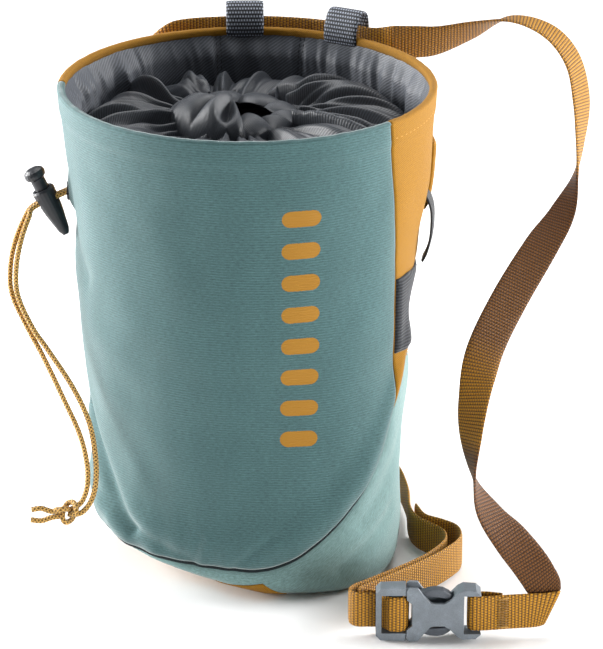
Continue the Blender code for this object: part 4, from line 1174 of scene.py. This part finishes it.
def add_panels():
    half = 0.16
    columns = panel_columns(lambda z: FRONT_START + half, lambda z: front_end(z) - half, 190, 180,
                            lambda a: wrap_seam(a) + 0.0003)
    front = grid_piece("front_shell", columns, teal, skip=near_exit)
    thicken(front, CLOTH_THICKNESS)
    stand_in(front, "teal_fabric", "front_panel", "rim_hem_front")
    columns = panel_columns(lambda z: front_end(z) + half - 360.0, lambda z: FRONT_START - half, 230, 130,
                            lambda a: wrap_seam(a) + 0.0003)
    back = grid_piece("back_shell", columns, ochre)
    thicken(back, CLOTH_THICKNESS)
    stand_in(back, "ochre_fabric", "back_panel", "rim_hem_back")
    lower = []
    for i in range(300):
        angle = 200.0 + 360.0 * i / 300
        top = wrap_seam(angle) - 0.0003
        column = []
        for k in range(61):
            level = top * (k / 60) ** 1.25
            column.append((shell_at(angle, level), math.radians(angle) * 0.068, level - top))
        lower.append(column)
    wrap = thicken(grid_piece("lower_shell", lower, teal_plain, closed=True), CLOTH_THICKNESS)
    stand_in(wrap, "teal_wrap_fabric", "lower_panel", "lower_back_panel")
    for piece, fill in ((front, 0.35), (back, 0.25), (wrap, 0.3)):
        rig.ride(piece, "bag")
        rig.padded(piece, fill=fill)
    base_disc("base_cloth", "base_panel", "base_fabric", 0.0006, 0.0002, 0.0010, ochre)


def base_disc(name, node_name, slot, edge, level, thickness, mat):
    """A round sheet of the base at one level, curling up with it at the front left."""
    columns = []
    for i in range(144):
        angle = 360.0 * i / 144
        turn = math.radians(angle)
        reach = wall_radius(angle, CORNER_ROUND) - CORNER_ROUND + edge
        column = []
        for k in range(22):
            radius = 0.0006 + (reach - 0.0006) * k / 21
            x, y = radius * math.cos(turn), radius * math.sin(turn)
            swell = 0.0005 * smooth((reach - radius) / 0.010) * (1.0 + noise.noise(Vector((x, y, 0)) * 60))
            height = level + swell + base_lift(angle, radius, level)
            column.append((Vector((x, y, height)), x, y))
        columns.append(column)
    disc = thicken(grid_piece(name, columns, mat, closed=True), thickness)
    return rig.ride(stand_in(disc, slot, node_name), "bag")


def inner_wall(name, nodes, slot, start, end, low, high, inset, thickness, mat):
    """A hidden layer of the wall, such as the foam, between two heights."""
    columns = []
    for i in range(121):
        angle = start + (end - start) * i / 120
        column = []
        for k in range(25):
            level = low + (high - low) * (k / 24) ** 1.5
            sunk = max(0.0, -relief(angle, level))
            column.append((wall_at(angle, level, inset + sunk), math.radians(angle) * 0.07, level))
        columns.append(column)
    layer = grid_piece(name, columns, mat, skip=near_exit)
    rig.replaces(thicken(layer, thickness), *nodes)
    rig.slot(layer, slot)
    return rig.ride(layer, "bag")


def add_inner_layers():
    """The foam in the wall, the hoop in the rim, the stiffener and the fleece pouch."""
    inner_wall("wall_foam_layer", ["wall_foam"], "wall_foam", 0.2, 359.8, CORNER_ROUND + 0.0005, 0.1895,
               0.0024, 0.0016, foam)
    for side, start in (("back", 0.2), ("front", 180.2)):
        inner_wall("pouch_fleece_" + side, ["chalk_pouch_" + side], "pouch_fleece", start, start + 179.6,
                   0.0105, 0.1680, 0.0055, 0.0011, fleece)
    base_disc("stiffener_sheet", "base_stiffener", "stiffener", -0.0010, 0.0022, 0.0010, foam)
    base_disc("pouch_floor_fleece", "pouch_floor", "pouch_fleece", -0.0030, 0.0052, 0.0012, fleece)
    turns = [math.tau * i / 180 for i in range(181)]
    line = [Vector((0.0751 * math.cos(t), 0.0751 * math.sin(t),
                    0.1964 + rim_rise(math.degrees(t), HEIGHT))) for t in turns]
    hoop = cord_piece("rim_stiffening_hoop", line, lock_plastic, 0.0006)
    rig.ride(stand_in(hoop, "hoop_plastic", "rim_hoop"), "bag")


def add_seams():
    """The dark piping sunk in the wrap seam, painted shade of the seam's gap over its dark thread, and the rows of
    thread on the panels.
    """
    angles = [200.0 + 2.0 * i for i in range(181)]
    path = [shell_at(a, wrap_seam(a) - 0.0003, 0.0005) for a in angles]
    # Painted shade: a near-black tube in the seam's groove stands for the shadow in the gap under the front panel's
    # edge, with the seam's dark thread.
    seam = cord_piece("wrap_seam_shade_piping", path, seam_shade_tape, 0.0012)
    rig.ride(seam, "bag")
    wall_stitches("back_rim_stitches", front_end(0.2) - 360.0 + 1.5, 198.5, lambda a: 0.1925, ochre_thread)
    wall_stitches("wrap_top_stitches", 353.0, 559.0, lambda a: wrap_seam(a) + 0.0030, ochre_thread)


def add_eyelet():
    """A flat metal ring round the hole that the drawcord comes out of."""
    outward = Vector((EXIT_AT.x, EXIT_AT.y, 0.0)).normalized()
    aside = Vector((-outward.y, outward.x, 0.0))
    ring = []
    for i in range(33):
        turn = math.tau * i / 32
        gap = aside * 0.0032 * math.cos(turn) + Vector((0.0, 0.0, 0.0032 * math.sin(turn)))
        ring.append(LAY @ (EXIT_AT + gap - outward * 0.0006))
    eyelet = cord_piece("eyelet_ring", ring, dark_metal, 0.0008)
    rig.ride(stand_in(eyelet, "eyelet_metal", "drawcord_eyelet"), "bag")


def add_bartack():
    """The zigzag that closes the sewn end of the belt."""
    points = []
    for i in range(25):
        x = 99.8 if i % 2 else 104.4
        points.append((x, -101.9 + (x - 97.0) * 0.18 - 0.55, 5.2 + 12.8 * i / 24))
    tack = cord_piece("belt_end_bartack", in_lay(points), belt_thread, 0.00036)
    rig.ride(tack, "receiver")


def add_base_edge():
    """A sliver of the base cloth that shows under the wrap, at the front."""
    columns = []
    for i in range(25):
        angle = 277.5 + 28.5 * i / 24
        top = 0.0020 + 0.0056 * min((angle - 277.5) / 19.0, (306.0 - angle) / 9.5)
        columns.append([(shell_at(angle, 0.0004 + (top - 0.0004) * k / 6, 0.0002),
                         math.radians(angle) * 0.07, top * k / 6) for k in range(7)])
    edge = thicken(grid_piece("base_cloth_edge", columns, ochre), 0.0004, 0.0)
    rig.slot(edge, "base_fabric")
    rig.ride(edge, "bag")


def wall_patch(name, start, end, low, high, proud, thickness, mat, columns, rows, slot, nodes):
    """A piece of cloth sewn on the wall, its edges pressed down."""
    grid = []
    for i in range(columns + 1):
        angle = start + (end - start) * i / columns
        arc = math.radians(min(angle - start, end - angle)) * 0.075
        bottom, top = low(angle), high(angle)
        column = []
        for k in range(rows + 1):
            level = bottom + (top - bottom) * k / rows
            inward = min(arc, level - bottom, top - level)
            lift = proud * (0.35 + 0.65 * smooth(inward / 0.0022))
            column.append((shell_at(angle, level, lift), math.radians(angle) * 0.076, level))
        grid.append(column)
    piece = thicken(grid_piece(name, grid, mat), thickness)
    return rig.ride(stand_in(piece, slot, *nodes), "bag")


def band_level(angle):
    share = min(1.0, max(0.0, angle - 352.0) / 30.0)
    return 0.1163 - 0.0071 * share


def add_back_details():
    wall_patch("back_sewn_patch", 16.0, 187.0, lambda a: 0.1490, lambda a: 0.1770, 0.0018, 0.0010, ochre,
               200, 30, "ochre_patch_fabric", ["back_patch"])
    for i, level in enumerate((0.1512, 0.1748)):
        wall_stitches("patch_stitches_%d" % i, 18.0, 185.0, lambda a, z=level: z, ochre_thread, 0.0016)
    wall_patch("side_elastic_band", BAND_START, 425.0, lambda a: band_level(a) - 0.0160,
               lambda a: band_level(a) + 0.0160, 0.0015, 0.0008, band_cloth, 90, 34, "graphite_elastic",
               ["side_band"])
    turn = math.radians(BRUSH_AT)
    outward = radial(turn)
    side = Vector((-math.sin(turn), math.cos(turn), 0.0))
    wall = wall_radius(BRUSH_AT, 0.136) + 0.0012
    route = [Vector(p) for p in ((0.0006, 0.1585), (0.0026, 0.1565), (0.0044, 0.1510), (0.0046, 0.1440),
                                 (0.0040, 0.1380), (0.0026, 0.1325), (0.0010, 0.1290))]
    centres = [outward * (wall + p.x) + Vector((0, 0, p.y)) for p in spline(route, 6)]
    brush = sweep("brush_elastic_loop", centres, [side] * len(centres), flat_section(0.011, 0.0012),
                  brush_cloth)
    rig.ride(stand_in(brush, "brush_loop_elastic", "brush_loop"), "bag")


def loop_route():
    """Up from between the lining and the rim's binding, over the belt and down to the patch."""
    wall = TOP_RADIUS
    inside = RIM_INNER
    return [Vector(p) for p in (
        (inside + 0.0008, 0.1935), (inside - 0.0001, 0.1966), (inside - 0.0008, 0.1992),
        (inside - 0.0002, 0.2034), (inside + 0.0014, 0.2072), (wall + 0.0010, 0.2096),
        (wall + 0.0044, 0.2092),
        (wall + 0.0064, 0.2062), (wall + 0.0068, 0.1980), (wall + 0.0062, 0.1900),
        (wall + 0.0040, 0.1840), (wall + 0.0020, 0.1780), (wall + 0.0014, 0.1660))]


def add_belt_loops():
    for name, node_name, angle in (("belt_carrier_right", "belt_loop_right", 79.6),
                                   ("belt_carrier_left", "belt_loop_left", 112.6)):
        turn = math.radians(angle)
        outward = radial(turn)
        side = Vector((-math.sin(turn), math.cos(turn), 0.0))
        centres = [outward * p.x + Vector((0, 0, p.y + rim_rise(angle, p.y)))
                   for p in spline(loop_route(), 6)]
        loop = sweep(name, centres, [side] * len(centres), flat_section(0.016, 0.0013), loop_cloth)
        stand_in(loop, "graphite_webbing", node_name)
        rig.ride(loop, "bag")


# ---------------------------------------------------------------- inside

LINING_SEAMS = (93.5, 121.5, 230.0, 350.0)


def lining_radius(angle, level):
    """Tight under the rim's binding, then falling in soft upright folds that never reach the foam."""
    turn = math.radians(angle)
    place = radial(turn)
    folds = 0.8 + 1.5 * noise.noise(place * 4.2 + Vector((0.0, 0.0, level * 14.0)))
    folds += 1.1 * noise.noise(place * 11.0 + Vector((level * 26.0, 3.0, level * 20.0)))
    folds += 0.5 * noise.noise(place * 27.0 + Vector((level * 70.0, 7.0, level * 30.0)))
    apart = min(abs(apart_from(angle, seam)) for seam in LINING_SEAMS)
    inset = 0.0049 + 0.0021 * max(0.0, folds) * smooth(apart / 3.0)
    drop = smooth((0.1992 - level) / 0.0110)
    return (RIM_INNER + 0.0006) * (1.0 - drop) + (wall_radius(angle, level) - inset) * drop


def add_lining():
    """The satin facing inside the rim, in panels that are joined by double-stitched seams."""
    columns = []
    for i in range(540):
        angle = 360.0 * i / 540
        turn = math.radians(angle)
        column = []
        for k in range(41):
            level = 0.1680 + 0.0306 * k / 40
            radius = lining_radius(angle, level)
            height = level + rim_rise(angle, level)
            column.append((Vector((radius * math.cos(turn), radius * math.sin(turn), height)),
                           turn * PANEL_ARC, level))
        columns.append(column)
    lining = thicken(grid_piece("lining_facing_cloth", columns, lining_cloth, closed=True), 0.0004, 1.0)
    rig.ride(stand_in(lining, "lining_twill", "lining_facing"), "bag")
    for i, angle in enumerate(LINING_SEAMS):
        for side in (-0.7, 0.7):
            row = lining_stitches("lining_seam_%d_%s" % (i, "a" if side < 0 else "b"), angle + side)
            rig.ride(row, "bag")


def lining_stitches(name, angle):
    turn = math.radians(angle)
    inward = Vector((-math.cos(turn), -math.sin(turn), 0.0))
    low, high = 0.176, 0.1970

    def place(reach):
        level = low + reach
        return (Vector((0.0, 0.0, level + rim_rise(angle, level)))
                - inward * lining_radius(angle, level))

    return stitches(name, (high - low, place), lambda reach: inward, dark_thread, pitch=0.0022,
                    length=0.0015, radius=0.00018)


# The gathered closure: rows run in from its seam on the wall to the ring, and on into the frill
COLLAR_PATH = (
    (0.0692, 0.1690), (0.0690, 0.1748), (0.0664, 0.1808), (0.0608, 0.1850), (0.0530, 0.1868),
    (0.0440, 0.1862), (0.0350, 0.1840), (0.0275, 0.1826),
)
COLLAR_SHIFT = LAY @ Vector((-0.0055, 0.0070, 0.0))
COLLAR_COLUMNS = 330
COLLAR_ROWS = 34
COLLAR_PLEATS = 21
FRILL_ROWS = 16
FRILL_STEP = 0.0015
GATHER_STEPS = 24
# Each lobe of the frill: its middle and half width in degrees in the lay frame, and its size
LOBES = (
    (254.0, 26.0, 1.50), (209.0, 22.0, 1.20), (291.0, 17.0, 0.60), (322.0, 15.0, 0.35), (352.0, 16.0, 0.25),
    (24.0, 18.0, 0.30), (62.0, 22.0, 0.40), (104.0, 22.0, 0.45), (142.0, 19.0, 0.60), (174.0, 17.0, 0.65),
)


def evenly(points, count):
    """Points at equal distances along a line, and the line's length."""
    reach = [0.0]
    for a, b in zip(points, points[1:]):
        reach.append(reach[-1] + (b - a).length)
    spread = []
    k = 0
    for i in range(count + 1):
        want = reach[-1] * i / count
        while k < len(reach) - 2 and reach[k + 1] < want:
            k += 1
        spread.append(points[k].lerp(points[k + 1], (want - reach[k]) / (reach[k + 1] - reach[k])))
    return spread, reach[-1]


def lobe_at(angle):
    """The size of the frill's lobe at an angle in the lay frame."""
    size = 0.0
    for middle, half, large in LOBES:
        gap = abs(apart_from(angle, middle)) / half
        if gap < 1.0:
            size = max(size, large * (1.0 - gap * gap) ** 0.45)
    return size


def frill_point(angle, share, foot):
    """The frill rises from the ring and rolls inwards; share runs from the ring to its free edge."""
    lobe = lobe_at(angle)
    roll = share * math.radians(140.0)
    rise = (0.0028 + 0.0092 * lobe) * math.sin(roll)
    aside = apart_from(angle, 261.0) / 9.0
    hollow = math.exp(-aside ** 2 - ((share - 0.55) / 0.24) ** 2)
    inward = (0.0056 + 0.0058 * lobe) * (1.0 - math.cos(roll))
    return Vector((foot.x - inward, foot.y + rise - 0.0115 * hollow))


def pleat_lift(around, turn, radius):
    """How far the cloth is gathered up into pleats, deeper where more cloth has to fit in."""
    bend = 60.0 * (0.055 - radius)
    warp = noise.noise(around * 1.7 + Vector((0.0, 0.0, 0.3 + 6.0 * radius))) * 7.0
    warp += noise.noise(around * 4.0 + Vector((2.0, 9.0 * radius, 0.3))) * 3.4
    warp += bend * noise.noise(around * 1.1 + Vector((0.0, 8.0, 0.0)))
    size = 1.0 + 1.5 * noise.noise(around * 4.1 + Vector((5.0, 0.0, 14.0 * radius)))
    spare = max(0.0, COLLAR_PATH[0][0] / radius - 1.0)
    depth = min(0.0036, math.tau * radius / COLLAR_PLEATS * 0.36 * math.sqrt(spare)) * size
    depth *= 1.0 - 0.65 * max(0.0, math.cos(turn - math.radians(280.0))) ** 2
    phase = COLLAR_PLEATS * turn + warp
    fine = noise.noise(around * 26.0 + Vector((0.0, 4.0, 60.0 * radius))) * smooth((0.050 - radius) / 0.020)
    return depth * (math.sin(phase) + 0.40 * math.sin(2.3 * phase + 1.0 + 90.0 * radius) + 1.1 * fine)


def collar_columns():
    """The pleated start shape, and the flat sleeve of cloth that it is gathered from."""
    path, run = evenly(spline([Vector(p) for p in COLLAR_PATH], 8), COLLAR_ROWS)
    columns = []
    flat = []
    for i in range(COLLAR_COLUMNS):
        turn = math.tau * i / COLLAR_COLUMNS
        around = radial(turn)
        column = []
        for k in range(COLLAR_ROWS + FRILL_ROWS + 1):
            if k <= COLLAR_ROWS:
                along = (path[min(k + 1, COLLAR_ROWS)] - path[max(k - 1, 0)]).normalized()
                lift = pleat_lift(around, turn, path[k].x)
                point = path[k] + Vector((along.y, -along.x)) * lift
                foot = point
                reach = run * k / COLLAR_ROWS
            else:
                share = (k - COLLAR_ROWS) / FRILL_ROWS
                angle = math.degrees(turn) - LAY_TURN
                point = frill_point(angle, share, foot.lerp(path[COLLAR_ROWS], smooth(share * 4.5)))
                reach += FRILL_STEP
            shift = COLLAR_SHIFT * smooth(k / COLLAR_ROWS)
            column.append((around * point.x + Vector((0, 0, point.y)) + shift,
                           turn * COLLAR_PATH[0][0], reach))
            flat.append(around * COLLAR_PATH[0][0] + Vector((0, 0, COLLAR_PATH[0][1] + reach)))
        columns.append(column)
    return columns, flat, reach


def gather(piece, flat, rows):
    """Lets the cloth between the seam and the ring settle into its own folds."""
    piece.shape_key_add(name="Basis")
    key = piece.shape_key_add(name="flat")
    for point, place in zip(key.data, flat):
        point.co = place
    key.value = 0.0
    held = piece.vertex_groups.new(name="held")
    for i in range(COLLAR_COLUMNS):
        fixed = [0, 1] + list(range(COLLAR_ROWS, rows))
        held.add([i * rows + k for k in fixed], 1.0, "REPLACE")
    cloth = piece.modifiers.new("Cloth", "CLOTH")
    settings = cloth.settings
    settings.vertex_group_mass = held.name
    settings.rest_shape_key = key
    settings.quality = 6
    settings.mass = 0.12
    settings.tension_stiffness = settings.compression_stiffness = 14.0
    settings.shear_stiffness = 4.0
    settings.bending_stiffness = 0.12
    settings.air_damping = 2.0
    settings.effector_weights.gravity = 0.05
    cloth.collision_settings.use_collision = False
    for step in range(1, GATHER_STEPS + 1):
        bpy.context.scene.frame_set(step)
    settled = bpy.data.meshes.new_from_object(piece.evaluated_get(bpy.context.evaluated_depsgraph_get()))
    piece.modifiers.clear()
    piece.shape_key_clear()
    piece.vertex_groups.clear()
    piece.data = settled
    bpy.context.scene.frame_set(1)


def add_collar():
    """The gathered closure: pleats running in to a scrunched ring, and a frill in smooth lobes."""
    columns, flat, length = collar_columns()
    collar = grid_piece("gathered_collar", columns, collar_cloth, closed=True)
    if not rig.quick():
        gather(collar, flat, len(columns[0]))
    finer = collar.modifiers.new("Finer", "SUBSURF")
    finer.levels = finer.render_levels = 1
    thicken(collar, 0.0004, 0.0)
    stand_in(collar, "collar_fabric", "closure_collar", "collar_skirt", "cord_casing")
    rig.sheet(collar, flat=(math.tau * COLLAR_PATH[0][0], length), held="gathered")
    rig.ride(collar, "bag")


PRESS_AXIS = Vector((0.398855, 0.163363, -0.902345))


def add_lock_spring():
    """The coil under the plunger, which closes up while the plunger is pressed."""
    plain = NODES["cord_lock_spring"]
    spring = new_object("lock_coil_spring", plain.data.copy())
    spring.matrix_world = plain.matrix_world.copy()
    spring.data.materials.clear()
    spring.data.materials.append(steel)
    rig.ride(stand_in(spring, "spring_steel", "cord_lock_spring"), "cord_lock")
    foot = max((spring.matrix_world @ v.co for v in spring.data.vertices), key=PRESS_AXIS.dot)
    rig.squash(spring, "cord_lock_press", axis=PRESS_AXIS, anchor=foot, keep=0.26)


def paint_nodes():
    """Detailed finishes on the CAD nodes that keep their shape."""
    finishes = {
        "buckle_receiver": buckle_plastic, "buckle_insert": buckle_plastic,
        "latch_arm_upper": arm_plastic, "latch_arm_lower": arm_plastic, "cord_lock_body": lock_plastic,
        "cord_lock_plunger": lock_plastic, "drawcord_ring": cord_cloth,
    }
    for name, mat in finishes.items():
        mesh = NODES[name].data
        mesh.materials.clear()
        mesh.materials.append(mat)


def write_sizes():
    with open("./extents.json", "w") as out:
        json.dump({"cad": [list(p) for p in CAD_BOX], "visual": [list(p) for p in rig.bounds()]}, out)


add_camera()
add_belt()
add_cords()
add_stage()
add_panels()
add_seams()
add_base_edge()
add_eyelet()
add_bartack()
add_back_details()
add_belt_loops()
add_lining()
add_collar()
add_inner_layers()
add_lock_spring()
paint_nodes()
write_sizes()
